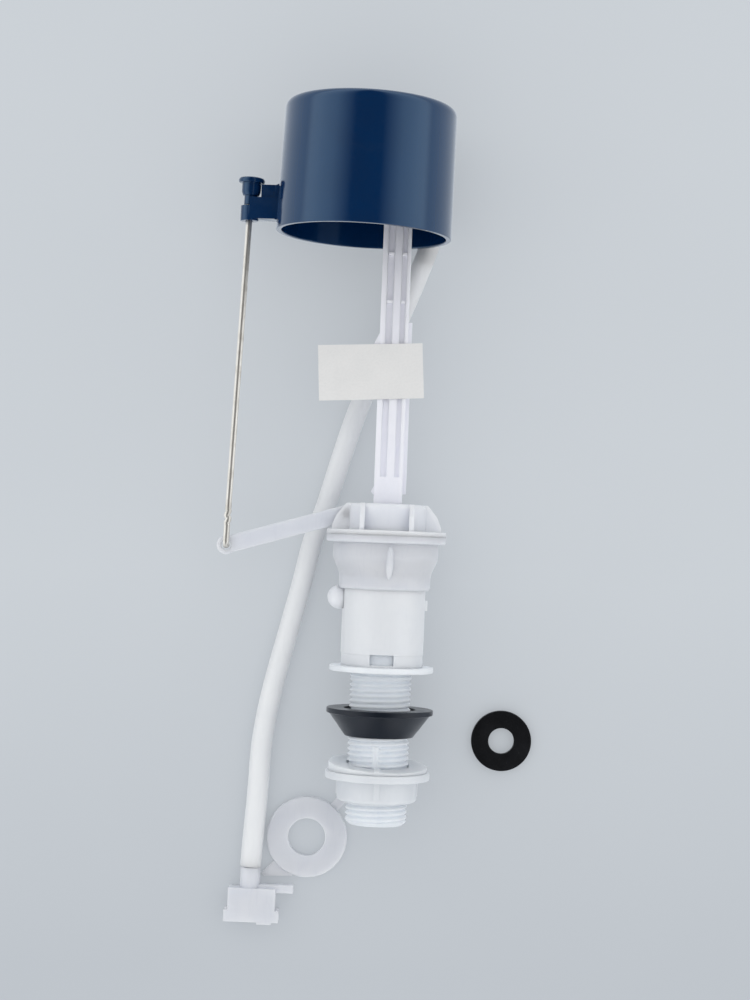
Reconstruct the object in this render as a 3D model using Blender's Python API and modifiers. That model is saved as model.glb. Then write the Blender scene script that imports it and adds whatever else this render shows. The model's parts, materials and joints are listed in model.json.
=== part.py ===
"""Toilet fill valve with a cup float, laid on its back beside its loose washers, refill tube and tube clip.

The valve is modelled upright: its axis is z, its front faces -y, and z = 0 is the inlet end of the shank.
One empty then lays it on its back, so the front faces up and the axis runs along +Y.
"""

import math
from collections import namedtuple

import bmesh
import bpy
from mathutils import Euler, Vector

MM = 0.001

# Clearances
SEAT_GAP = 0.3 * MM
RUNNING_GAP = 0.35 * MM
PIVOT_GAP = 0.6 * MM
STEPS = 48
FINE_STEPS = 24
EMPTY_SIZE = 5 * MM

# Inlet shank, measured up from the inlet end
THREAD_DIAMETER = 20.955 * MM
SHANK_LENGTH = 51.9 * MM
SHANK_NECK_LENGTH = 3.0 * MM
SHANK_NECK_RELIEF = 0.55 * MM
SHANK_CHAMFER = 1.3 * MM
INSERT_BORE_DIAMETER = 12.0 * MM
INSERT_BORE_DEPTH = 18.6 * MM
RISER_BORE_DIAMETER = 9.2 * MM
RISER_DIAMETER = 16.0 * MM
RISER_LENGTH = 24.2 * MM
SEAT_FLANGE_DIAMETER = 35.5 * MM
SEAT_FLANGE_THICKNESS = 1.9 * MM
SPIGOT_HEIGHT = 5.6 * MM

# Filter and flow restrictor in the inlet bore
FILTER_LENGTH = 12.0 * MM
FILTER_WALL = 0.8 * MM
FILTER_FLANGE_THICKNESS = 1.2 * MM
FILTER_SLOT_WIDTH = 1.3 * MM
RESTRICTOR_LENGTH = 4.6 * MM
RESTRICTOR_HOLE_DIAMETER = 4.0 * MM

# Outer sleeve
SLEEVE_DIAMETER = 27.7 * MM
SLEEVE_WALL = 1.35 * MM
SLEEVE_LENGTH = 25.4 * MM
SLEEVE_STEP_HEIGHT = 3.8 * MM
SLEEVE_STEP_DEPTH = 0.45 * MM
WINDOW_WIDTH = 8.0 * MM
WINDOW_HEIGHT = 3.6 * MM
WINDOW_SILL = 0.4 * MM
SLEEVE_NUB_LENGTH = 3.4 * MM
SLEEVE_NUB_REACH = 0.8 * MM

# Refill outlet elbow at the sleeve's left
ELBOW_BALL_DIAMETER = 8.2 * MM
ELBOW_REACH = 15.2 * MM
ELBOW_DROP = 2.7 * MM
ELBOW_STUB_DIAMETER = 6.0 * MM
ELBOW_NIPPLE_DIAMETER = 4.2 * MM
ELBOW_NIPPLE_LENGTH = 12.0 * MM
ELBOW_BARB = 0.4 * MM
ELBOW_SPLAY = math.radians(12)
ELBOW_BORE_DIAMETER = 2.4 * MM

# Valve bowl
BOWL_DIAMETER = 36.0 * MM
BOWL_HEIGHT = 15.9 * MM
BOWL_NECK_LAP = 0.85 * MM
BOWL_NECK_HEIGHT = 0.8 * MM
BOWL_STRAIGHT = 3.5 * MM
BOWL_FLOOR_HEIGHT = 2.1 * MM
BOWL_WALL = 1.6 * MM
BOWL_FLOOR = 1.8 * MM
BOWL_SKIRT_LENGTH = 8.0 * MM
BOWL_SKIRT_WALL = 1.6 * MM
HEAD_FLANGE_DIAMETER = 40.74 * MM
BOWL_FLANGE_THICKNESS = 2.7 * MM
NOZZLE_WALL = 1.5 * MM
NOZZLE_TIP_DEPTH = 3.2 * MM
OUTLET_DIAMETER = 2.0 * MM
OUTLET_COUNT = 6
FIN_WIDTH = 1.9 * MM
FIN_HEIGHT = 1.1 * MM
FIN_TURN = math.radians(5)

# Seals
O_RING_SECTION = 1.2 * MM
O_RING_FACETS = 8
BACKFLOW_WASHER_THICKNESS = 0.7 * MM
DIAPHRAGM_DIAMETER = 34.0 * MM
DIAPHRAGM_RIM = 1.1 * MM
DIAPHRAGM_WEB = 0.9 * MM
PLATE_DIAMETER = 13.0 * MM
PLATE_THICKNESS = 0.8 * MM
PLATE_STEM_DIAMETER = 3.2 * MM
PLATE_STEM_LENGTH = 5.0 * MM

# Head cap
CAP_FLANGE_THICKNESS = 1.2 * MM
CAP_HEIGHT = 9.1 * MM
CAP_DRUM_DIAMETER = 26.6 * MM
CAP_DRUM_ROUNDING = 1.6 * MM
CAP_CHAMBER_DEPTH = 0.7 * MM
CAP_CHAMBER_DIAMETER = 29.0 * MM
GUSSET_COUNT = 6
GUSSET_THICKNESS = 2.3 * MM
GUSSET_FOOT_DIAMETER = 37.2 * MM
GUSSET_TOP_DIAMETER = 27.5 * MM
CHEEK_THICKNESS = 1.8 * MM
PILOT_HOLE_DIAMETER = 1.2 * MM

# Lever arm, its pin and the pilot pad
LEVER_LENGTH = 42.4 * MM
LEVER_DROP_ANGLE = math.radians(16.8)
LEVER_WIDTH = 5.8 * MM
LEVER_THICKNESS = 2.6 * MM
LEVER_EYE_DIAMETER = 6.4 * MM
LEVER_PIVOT_REACH = 14.0 * MM
LEVER_PIVOT_HEIGHT = 5.36 * MM
LEVER_TOE_LENGTH = 6.4 * MM
LEVER_TOE_WIDTH = 3.2 * MM
LEVER_PIN_DIAMETER = 2.0 * MM
LEVER_PIN_COVER = 0.6 * MM
PAD_DIAMETER = 2.6 * MM
PAD_REACH = 4.7 * MM

# Guide post
POST_WIDTH = 9.7 * MM
POST_DEPTH = 9.0 * MM
POST_LENGTH = 131.2 * MM
POST_FOOT_LENGTH = 4.0 * MM
POST_BASE_HEIGHT = 9.3 * MM
POST_EDGE = 1.35 * MM
POST_RIB = 2.7 * MM
POST_CORE = 6.0 * MM
POST_WEB_THICKNESS = 1.2 * MM
POST_WEB_PITCH = 16.5 * MM
POST_WEB_COUNT = 5
POST_WEB_SETBACK = 0.5 * MM
POST_TOP_CELL = 13.2 * MM
POST_LATCH_REACH = 1.0 * MM
POST_LATCH_HEIGHT = 4.1 * MM
POST_RAIL_REACH = 1.3 * MM
POST_RAIL_LENGTH = 59.0 * MM
POST_RAIL_START = 3.6 * MM
POST_RAIL_DEPTH = 2.4 * MM

# Cup float
CUP_RIM_DIAMETER = 59.5 * MM
CUP_DRAFT = 0.7 * MM
CUP_HEIGHT = 44.3 * MM
CUP_WALL = 1.9 * MM
CUP_ROUNDING = 3.0 * MM
CUP_OFFSET = 11.6 * MM
CUP_TOP_CLEARANCE = 1.5 * MM
CUP_GUIDE_WALL = 1.6 * MM
CUP_GUIDE_LENGTH = 29.0 * MM
CUP_GUIDE_GAP = 0.4 * MM
LUG_STANDOFF = 9.55 * MM
LUG_BASE_HEIGHT = 4.6 * MM
LUG_EYE_HEIGHT = 5.1 * MM
LUG_EYE_DIAMETER = 6.2 * MM
LUG_BLOCK_START = 0.6 * MM
LUG_BLOCK_HEIGHT = 7.3 * MM
LUG_BLOCK_THICKNESS = 6.4 * MM
LUG_BLOCK_WRAP = 1.0 * MM
LUG_PLATE_THICKNESS = 4.4 * MM
LUG_PLATE_SETBACK = 4.0 * MM
LUG_FLARE = 2.6 * MM

# Link rod and adjusting knob
ROD_DIAMETER = 2.2 * MM
ROD_TOP_LENGTH = 9.6 * MM
ROD_HOOK_RADIUS = 1.7 * MM
ROD_HOOK_END = 1.1 * MM
ROD_KINK_HEIGHT = 9.5 * MM
ROD_KINK_LENGTH = 6.0 * MM
ROD_KINK_DEPTH = 0.35 * MM
KNOB_HEAD_DIAMETER = 9.1 * MM
KNOB_HEAD_THICKNESS = 2.2 * MM
KNOB_BARREL_DIAMETER = 6.6 * MM
KNOB_BARREL_LENGTH = 4.3 * MM
KNOB_NECK_DIAMETER = 4.4 * MM
KNOB_WALL_ABOVE_ROD = 2.9 * MM

# Cone washer, lock nut and its flat washer
CONE_TOP_DIAMETER = 36.4 * MM
CONE_FOOT_DIAMETER = 23.4 * MM
CONE_HEIGHT = 9.4 * MM
CONE_LIP = 1.9 * MM
CONE_STATION = 29.9 * MM
CONE_MOUTH = 1.4 * MM
NUT_FLANGE_DIAMETER = 35.6 * MM
NUT_FLANGE_THICKNESS = 2.3 * MM
NUT_BODY_DIAMETER = 27.2 * MM
NUT_BODY_HEIGHT = 7.4 * MM
NUT_STATION = 8.3 * MM
NUT_ROUNDING = 1.6 * MM
NUT_RIB_WIDTH = 2.0 * MM
NUT_RIB_HEIGHT = 0.35 * MM
NUT_RIB_COUNT = 4
NUT_WASHER_DIAMETER = 33.6 * MM
NUT_WASHER_THICKNESS = 0.9 * MM
NUT_WASHER_PLAY = 1.2 * MM
NUT_WASHER_TILT = math.radians(6)
NUT_WASHER_ROLL = math.radians(1.6)

# Loose rubber washer
INLET_WASHER_DIAMETER = 21.0 * MM
INLET_WASHER_HOLE = 9.0 * MM
INLET_WASHER_THICKNESS = 3.0 * MM
INLET_WASHER_PLACE = (42.9 * MM, 28.1 * MM)

# Loose plastic ring with two ears
RING_DIAMETER = 28.2 * MM
RING_HOLE = 12.9 * MM
RING_THICKNESS = 2.6 * MM
RING_PLACE = (-23.8 * MM, -8.0 * MM)
EAR_REACH = 6.1 * MM
EAR_WIDTH = 3.3 * MM
EAR_THICKNESS = 1.7 * MM
EAR_TIP_WIDTH = 1.6 * MM
EAR_WEB_WIDTH = 6.4 * MM
STRIP_EAR_ANGLE = math.radians(49)
WEB_EAR_ANGLE = math.radians(225)

# Refill tube and its clip
TUBE_DIAMETER = 7.3 * MM
TUBE_POINT_COUNT = 70
TUBE_ROUTE_MM = [
    (-42.9, -18.6),
    (-42.6, -12.0),
    (-42.0, -2.0),
    (-41.4, 8.0),
    (-40.6, 25.0),
    (-37.8, 43.0),
    (-32.0, 67.5),
    (-29.0, 80.0),
    (-25.6, 95.5),
    (-21.6, 107.5),
    (-16.9, 124.5),
    (-11.9, 141.0),
    (-6.2, 156.0),
    (0.3, 171.0),
    (6.0, 185.5),
    (11.2, 200.0),
    (13.6, 208.5),
]
CLIP_BLOCK_WIDTH = 16.4 * MM
CLIP_BLOCK_LENGTH = 8.7 * MM
CLIP_BLOCK_THICKNESS = 7.6 * MM
CLIP_LIP_WIDTH = 19.0 * MM
CLIP_LIP_LENGTH = 3.0 * MM
CLIP_SLOT = 4.6 * MM
CLIP_BRIDGE = 3.6 * MM
CLIP_OFFSET = 0.9 * MM
CLIP_NECK_DIAMETER = 7.0 * MM
CLIP_NECK_LENGTH = 5.5 * MM
CLIP_ARM_REACH = 15.1 * MM
CLIP_ARM_WIDTH = 2.6 * MM
CLIP_ARM_THICKNESS = 4.0 * MM
CLIP_TAB_WIDTH = 5.0 * MM
CLIP_TAB_LENGTH = 0.7 * MM

# Finishes: colour, roughness, metallic and how clear it is
Finish = namedtuple("Finish", "colour roughness metallic clear", defaults=(0.0, 0.0))
WHITE_PLASTIC = Finish((0.86, 0.87, 0.89), 0.38)
CLEAR_PLASTIC = Finish((0.78, 0.80, 0.84), 0.32, clear=0.35)
FROSTED_PLASTIC = Finish((0.84, 0.85, 0.86), 0.45, clear=0.25)
NAVY_PLASTIC = Finish((0.012, 0.075, 0.17), 0.22)
BLACK_RUBBER = Finish((0.02, 0.021, 0.024), 0.7)
GREY_PLASTIC = Finish((0.45, 0.46, 0.48), 0.5)
STEEL = Finish((0.62, 0.6, 0.55), 0.25, metallic=1.0)

# Heights along the valve, all from the sizes above
AXIS_HEIGHT = HEAD_FLANGE_DIAMETER / 2
SEAT_TOP = SHANK_LENGTH + SEAT_FLANGE_THICKNESS
RISER_TOP = SEAT_TOP + RISER_LENGTH
SLEEVE_BASE = SEAT_TOP + SEAT_GAP
SLEEVE_TOP = SLEEVE_BASE + SLEEVE_LENGTH
BOWL_BASE = SLEEVE_TOP + SEAT_GAP
BOWL_NECK_RADIUS = SLEEVE_DIAMETER / 2 + BOWL_NECK_LAP
BOWL_FLANGE_BASE = BOWL_BASE + BOWL_HEIGHT
BOWL_TOP = BOWL_FLANGE_BASE + BOWL_FLANGE_THICKNESS
FLOOR_BASE = BOWL_BASE + BOWL_FLOOR_HEIGHT
FLOOR_TOP = FLOOR_BASE + BOWL_FLOOR
NOZZLE_TIP = BOWL_TOP - NOZZLE_TIP_DEPTH
CAP_BASE = BOWL_TOP + SEAT_GAP
CAP_FLANGE_TOP = CAP_BASE + CAP_FLANGE_THICKNESS
CAP_TOP = CAP_FLANGE_TOP + CAP_HEIGHT
SLOT_FLOOR = CAP_FLANGE_TOP + SEAT_GAP
SLOT_WIDTH = LEVER_THICKNESS + 2 * RUNNING_GAP
POST_TOP = CAP_TOP + POST_LENGTH
CUP_TOP = POST_TOP + CUP_TOP_CLEARANCE + CUP_WALL
CUP_RIM = CUP_TOP - CUP_HEIGHT
CUP_DROP = CUP_RIM_DIAMETER / 2 - AXIS_HEIGHT
LEVER_PIVOT = Vector((-LEVER_PIVOT_REACH, 0.0, CAP_FLANGE_TOP + LEVER_PIVOT_HEIGHT))
LEVER_EYE = LEVER_PIVOT - LEVER_LENGTH * Vector(
    (math.cos(LEVER_DROP_ANGLE), 0.0, math.sin(LEVER_DROP_ANGLE))
)
ROD_FRONT = LEVER_THICKNESS / 2 + SEAT_GAP + ROD_DIAMETER / 2
LUG_EYE = Vector(
    (
        -CUP_OFFSET - CUP_RIM_DIAMETER / 2 - LUG_STANDOFF,
        -ROD_FRONT,
        CUP_RIM + LUG_BASE_HEIGHT + LUG_EYE_HEIGHT / 2,
    )
)
ROD_LEAN = math.atan2(LUG_EYE.x - LEVER_EYE.x, LUG_EYE.z - LEVER_EYE.z)
ROD_DROP = math.hypot(LUG_EYE.x - LEVER_EYE.x, LUG_EYE.z - LEVER_EYE.z)
NUT_TOP = NUT_STATION + NUT_BODY_HEIGHT + NUT_FLANGE_THICKNESS
THREAD_BORE = THREAD_DIAMETER / 2 + RUNNING_GAP


def clear_scene():
    """Removes whatever the file opened with."""
    for obj in list(bpy.data.objects):
        bpy.data.objects.remove(obj)


def new_collection(name):
    """Makes a collection and links it to the scene."""
    made = bpy.data.collections.new(name)
    bpy.context.scene.collection.children.link(made)
    return made


def make_material(name, finish):
    """Makes the Principled material of one piece."""
    material = bpy.data.materials.new(name)
    material.use_nodes = True
    shader = material.node_tree.nodes["Principled BSDF"]
    shader.inputs["Base Color"].default_value = (*finish.colour, 1.0)
    shader.inputs["Roughness"].default_value = finish.roughness
    shader.inputs["Metallic"].default_value = finish.metallic
    shader.inputs["Transmission Weight"].default_value = finish.clear
    return material


def add_empty(name, parent=None, location=(0, 0, 0), rotation=(0, 0, 0)):
    """Makes an empty that carries a group of pieces or marks a joint."""
    empty = bpy.data.objects.new(name, None)
    empty.location = location
    empty.rotation_euler = rotation
    empty.parent = parent
    empty.empty_display_size = EMPTY_SIZE
    parts.objects.link(empty)
    return empty


def add_object(name, data, parent, location=(0, 0, 0), rotation=(0, 0, 0), finish=None):
    """Links a mesh or curve as a piece, or as a tool when it has no finish."""
    obj = bpy.data.objects.new(name, data)
    obj.location = location
    obj.rotation_euler = rotation
    obj.parent = parent
    if finish is None:
        obj.hide_render = True
        obj.display_type = "WIRE"
        tools.objects.link(obj)
        return obj
    obj.data.materials.append(make_material(name, finish))
    parts.objects.link(obj)
    return obj


def mesh_from(name, build):
    """Runs a builder on an empty bmesh and returns the mesh, faces outward."""
    bm = bmesh.new()
    build(bm)
    bmesh.ops.recalc_face_normals(bm, faces=bm.faces)
    mesh = bpy.data.meshes.new(name)
    bm.to_mesh(mesh)
    bm.free()
    mesh.shade_smooth()
    mesh.set_sharp_from_angle(angle=math.radians(35))
    return mesh


def add_box(bm, low, high):
    """Adds a box between two corners."""
    made = bmesh.ops.create_cube(bm, size=1.0)["verts"]
    size = [b - a for a, b in zip(low, high)]
    middle = [(a + b) / 2 for a, b in zip(low, high)]
    bmesh.ops.scale(bm, vec=size, verts=made)
    bmesh.ops.translate(bm, vec=middle, verts=made)
    return made


def add_rod(bm, start, end, radius, end_radius=None, segments=FINE_STEPS):
    """Adds a capped cylinder, or a cone, between two points."""
    start = Vector(start)
    reach = Vector(end) - start
    made = bmesh.ops.create_cone(
        bm,
        cap_ends=True,
        segments=segments,
        radius1=radius,
        radius2=radius if end_radius is None else end_radius,
        depth=reach.length,
    )["verts"]
    turn = Vector((0, 0, 1)).rotation_difference(reach.normalized())
    bmesh.ops.rotate(bm, verts=made, cent=(0, 0, 0), matrix=turn.to_matrix())
    bmesh.ops.translate(bm, verts=made, vec=start + reach / 2)
    return made


def boxes(name, corners, parent, location=(0, 0, 0), rotation=(0, 0, 0), finish=None):
    """One object of one or more boxes, each given by its two corners."""

    def build(bm):
        for low, high in corners:
            add_box(bm, low, high)

    return add_object(name, mesh_from(name, build), parent, location, rotation, finish)


def rods(name, ends, radius, parent, location=(0, 0, 0), rotation=(0, 0, 0), finish=None):
    """One object of one or more cylinders of the same radius, each given by its two ends."""

    def build(bm):
        for start, end in ends:
            add_rod(bm, start, end, radius)

    return add_object(name, mesh_from(name, build), parent, location, rotation, finish)


def arc(centre, radius, start, end, count=6):
    """Points on an arc in the profile plane, angles in degrees from the +r direction."""
    points = []
    for i in range(count + 1):
        angle = math.radians(start + (end - start) * i / count)
        points.append((centre[0] + radius * math.cos(angle), centre[1] + radius * math.sin(angle)))
    return points


def revolve(name, profile, parent, location=(0, 0, 0), rotation=(0, 0, 0), finish=None, steps=STEPS):
    """Turns a profile of (radius, height) points about z. It closes itself unless both ends lie on the axis."""
    mesh = bpy.data.meshes.new(name)
    edges = [(i, i + 1) for i in range(len(profile) - 1)]
    if profile[0][0] > 0 or profile[-1][0] > 0:
        edges.append((len(profile) - 1, 0))
    mesh.from_pydata([(r, 0.0, z) for r, z in profile], edges, [])
    obj = add_object(name, mesh, parent, location, rotation, finish)
    turn = obj.modifiers.new("turn", "SCREW")
    turn.steps = steps
    turn.render_steps = steps
    turn.use_merge_vertices = True
    turn.merge_threshold = 0.000001
    turn.use_smooth_shade = True
    return obj


def plate(name, outline, thickness, parent, location=(0, 0, 0), rotation=(0, 0, 0), finish=None):
    """A flat outline drawn in x and z, given thickness along y about y = 0, and made a mesh."""
    curve = bpy.data.curves.new(name, "CURVE")
    curve.dimensions = "2D"
    curve.fill_mode = "BOTH"
    curve.extrude = thickness / 2
    spline = curve.splines.new("POLY")
    spline.points.add(len(outline) - 1)
    for point, (x, z) in zip(spline.points, outline):
        point.co = (x, z, 0.0, 1.0)
    spline.use_cyclic_u = True
    guide = bpy.data.objects.new(name + "_guide", curve)
    tools.objects.link(guide)
    graph = bpy.context.evaluated_depsgraph_get()
    mesh = bpy.data.meshes.new_from_object(guide.evaluated_get(graph))
    bpy.data.objects.remove(guide)

    def build(bm):
        bm.from_mesh(mesh)
        bmesh.ops.remove_doubles(bm, verts=bm.verts, dist=0.000001)
        upright = Euler((math.radians(90), 0, 0)).to_matrix()
        bmesh.ops.rotate(bm, verts=bm.verts, cent=(0, 0, 0), matrix=upright)

    return add_object(name, mesh_from(name, build), parent, location, rotation, finish)


def boolean(obj, tool, operation):
    """Adds an exact Boolean of the tool to the object."""
    change = obj.modifiers.new(operation.lower() + "_" + tool.name, "BOOLEAN")
    change.operation = operation
    change.solver = "EXACT"
    change.object = tool


def cut(obj, *cutters):
    """Cuts each tool from the object."""
    for tool in cutters:
        boolean(obj, tool, "DIFFERENCE")


def join(obj, *additions):
    """Joins each tool to the object as one body."""
    for tool in additions:
        boolean(obj, tool, "UNION")


def build_shank(valve):
    """The threaded shank, its seat flange, the spigot that the sleeve slips over and the riser, with one bore."""
    thread = THREAD_DIAMETER / 2
    spigot = SLEEVE_DIAMETER / 2 - SLEEVE_WALL - RUNNING_GAP
    neck = thread - SHANK_NECK_RELIEF
    riser = RISER_DIAMETER / 2
    groove = riser - O_RING_SECTION
    groove_middle = RISER_TOP - 2 * O_RING_SECTION
    half_groove = O_RING_SECTION / 2 + SEAT_GAP
    thread_top = SHANK_LENGTH - SHANK_NECK_LENGTH
    profile = [
        (riser, RISER_TOP),
        (riser, groove_middle + half_groove),
        (groove, groove_middle + half_groove),
        (groove, groove_middle - half_groove),
        (riser, groove_middle - half_groove),
        (riser, SEAT_TOP + SPIGOT_HEIGHT),
        (spigot, SEAT_TOP + SPIGOT_HEIGHT),
        (spigot, SEAT_TOP),
        (SEAT_FLANGE_DIAMETER / 2, SEAT_TOP),
        (SEAT_FLANGE_DIAMETER / 2, SHANK_LENGTH),
        (neck, SHANK_LENGTH),
        (neck, thread_top),
        (thread, thread_top - SHANK_NECK_RELIEF),
        (thread, SHANK_CHAMFER),
        (thread - SHANK_CHAMFER, 0.0),
        (INSERT_BORE_DIAMETER / 2, 0.0),
        (INSERT_BORE_DIAMETER / 2, INSERT_BORE_DEPTH),
        (RISER_BORE_DIAMETER / 2, INSERT_BORE_DEPTH),
        (RISER_BORE_DIAMETER / 2, RISER_TOP),
    ]
    revolve("shank_body", profile, valve, finish=WHITE_PLASTIC)
    section = O_RING_SECTION / 2
    middle = groove + SEAT_GAP / 2 + section
    last = 360 - 360 / O_RING_FACETS
    ring = list(reversed(arc((middle, groove_middle), section, 0, last, O_RING_FACETS - 1)))
    revolve("riser_o_ring", ring, valve, finish=BLACK_RUBBER, steps=FINE_STEPS)


def build_inlet_inserts(valve):
    """The slotted filter thimble at the inlet and the flow restrictor above it."""
    bore = INSERT_BORE_DIAMETER / 2 - SEAT_GAP
    outer = bore - SEAT_GAP - FILTER_WALL / 2
    inner = outer - FILTER_WALL
    base = SHANK_CHAMFER / 2
    top = base + FILTER_LENGTH
    thimble = [
        (0.0, top),
        (outer, top),
        (outer, base + FILTER_FLANGE_THICKNESS),
        (bore, base + FILTER_FLANGE_THICKNESS),
        (bore, base),
        (inner, base),
        (inner, top - FILTER_WALL),
        (0.0, top - FILTER_WALL),
    ]
    thimble_solid = revolve("inlet_filter", thimble, valve, finish=WHITE_PLASTIC, steps=FINE_STEPS)
    low = base + 2 * FILTER_FLANGE_THICKNESS
    high = top - 2 * FILTER_WALL
    half = FILTER_SLOT_WIDTH / 2
    slot = ((-bore, -half, low), (bore, half, high))
    for i in range(3):
        turn = (0, 0, math.radians(60 * i))
        cut(thimble_solid, boxes(f"filter_slot_{i}", [slot], valve, rotation=turn))
    seat = INSERT_BORE_DEPTH - SEAT_GAP
    hole = RESTRICTOR_HOLE_DIAMETER / 2
    foot = seat - RESTRICTOR_LENGTH
    restrictor = [
        (bore, seat),
        (bore, foot),
        (hole + (bore - hole) / 2, foot),
        (hole, foot + RESTRICTOR_LENGTH / 2),
        (hole, seat),
    ]
    revolve("flow_restrictor", restrictor, valve, finish=GREY_PLASTIC, steps=FINE_STEPS)


def build_sleeve(valve):
    """The outer sleeve over the riser: a lower step, two windows, a side nub and the notch for the elbow."""
    outer = SLEEVE_DIAMETER / 2
    inner = outer - SLEEVE_WALL
    step = SLEEVE_BASE + SLEEVE_STEP_HEIGHT
    profile = [
        (outer, SLEEVE_TOP),
        (outer, step),
        (outer - SLEEVE_STEP_DEPTH, step),
        (outer - SLEEVE_STEP_DEPTH, SLEEVE_BASE),
        (inner, SLEEVE_BASE),
        (inner, SLEEVE_TOP),
    ]
    sleeve = revolve("outer_sleeve", profile, valve, finish=WHITE_PLASTIC)
    sill = SLEEVE_BASE + WINDOW_SILL
    window = (
        (-WINDOW_WIDTH / 2, -2 * outer, sill),
        (WINDOW_WIDTH / 2, 2 * outer, sill + WINDOW_HEIGHT),
    )
    half_notch = ELBOW_BALL_DIAMETER / 2 + SEAT_GAP
    notch = (
        (-2 * outer, -half_notch, elbow_height() - half_notch),
        (0.0, half_notch, SLEEVE_TOP + outer),
    )
    nub_top = elbow_height() - SEAT_GAP
    nub = (
        (inner, -SLEEVE_NUB_LENGTH / 2, nub_top - SLEEVE_NUB_LENGTH),
        (outer + SLEEVE_NUB_REACH, SLEEVE_NUB_LENGTH / 2, nub_top),
    )
    join(sleeve, boxes("sleeve_nub", [nub], valve))
    cut(sleeve, boxes("sleeve_windows", [window], valve), boxes("sleeve_notch", [notch], valve))


def elbow_height():
    """Height of the refill elbow's centre."""
    return SLEEVE_TOP - ELBOW_DROP


def skirt_radius():
    """Outer radius of the bowl's skirt over the riser."""
    return RISER_DIAMETER / 2 + RUNNING_GAP + BOWL_SKIRT_WALL


def build_elbow(valve):
    """The refill outlet: a stub from the bowl's skirt, a ball corner and a barbed nipple that points back."""
    ball = Vector((-ELBOW_REACH, 0.0, elbow_height()))
    away = Vector((-math.sin(ELBOW_SPLAY), math.cos(ELBOW_SPLAY), 0.0))
    tip = ball + ELBOW_NIPPLE_LENGTH * away
    barb = ball + (ELBOW_NIPPLE_LENGTH - 2 * ELBOW_NIPPLE_DIAMETER / 3) * away

    def build_ball(bm):
        bmesh.ops.create_uvsphere(
            bm, u_segments=FINE_STEPS, v_segments=FINE_STEPS // 2, radius=ELBOW_BALL_DIAMETER / 2
        )
        bmesh.ops.translate(bm, verts=bm.verts, vec=ball)

    def build_nipple(bm):
        add_rod(bm, ball, tip - 0.2 * (tip - barb), ELBOW_NIPPLE_DIAMETER / 2)

    def build_barb(bm):
        wide = ELBOW_NIPPLE_DIAMETER / 2 + ELBOW_BARB
        add_rod(bm, barb, tip, wide, ELBOW_NIPPLE_DIAMETER / 2 - ELBOW_BARB / 2)

    elbow = add_object("refill_elbow", mesh_from("elbow_ball", build_ball), valve, finish=CLEAR_PLASTIC)
    start = (-skirt_radius() - SEAT_GAP, 0.0, ball.z)
    stub = rods("elbow_stub", [(start, ball)], ELBOW_STUB_DIAMETER / 2, valve)
    join(
        elbow,
        stub,
        add_object("elbow_nipple", mesh_from("elbow_nipple", build_nipple), valve),
        add_object("elbow_barb", mesh_from("elbow_barb", build_barb), valve),
    )
    neck_ends = [((0.0, 0.0, BOWL_BASE - SEAT_GAP), (0.0, 0.0, BOWL_TOP))]
    cut(
        elbow,
        rods("elbow_bore", [(ball, tip + away * MM)], ELBOW_BORE_DIAMETER / 2, valve),
        rods("elbow_relief", neck_ends, BOWL_NECK_RADIUS + SEAT_GAP, valve),
    )


def bowl_wall(offset, count=12):
    """Points down the bowl's wall, an S from the straight top to the neck, moved out by the offset."""
    wide = BOWL_DIAMETER / 2
    narrow = BOWL_NECK_RADIUS
    top = BOWL_FLANGE_BASE - BOWL_STRAIGHT
    bottom = BOWL_BASE + BOWL_NECK_HEIGHT
    points = []
    for i in range(count + 1):
        share = i / count
        swell = (1 + math.cos(math.pi * share)) / 2
        points.append((narrow + (wide - narrow) * swell + offset, top - (top - bottom) * share))
    return points


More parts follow.
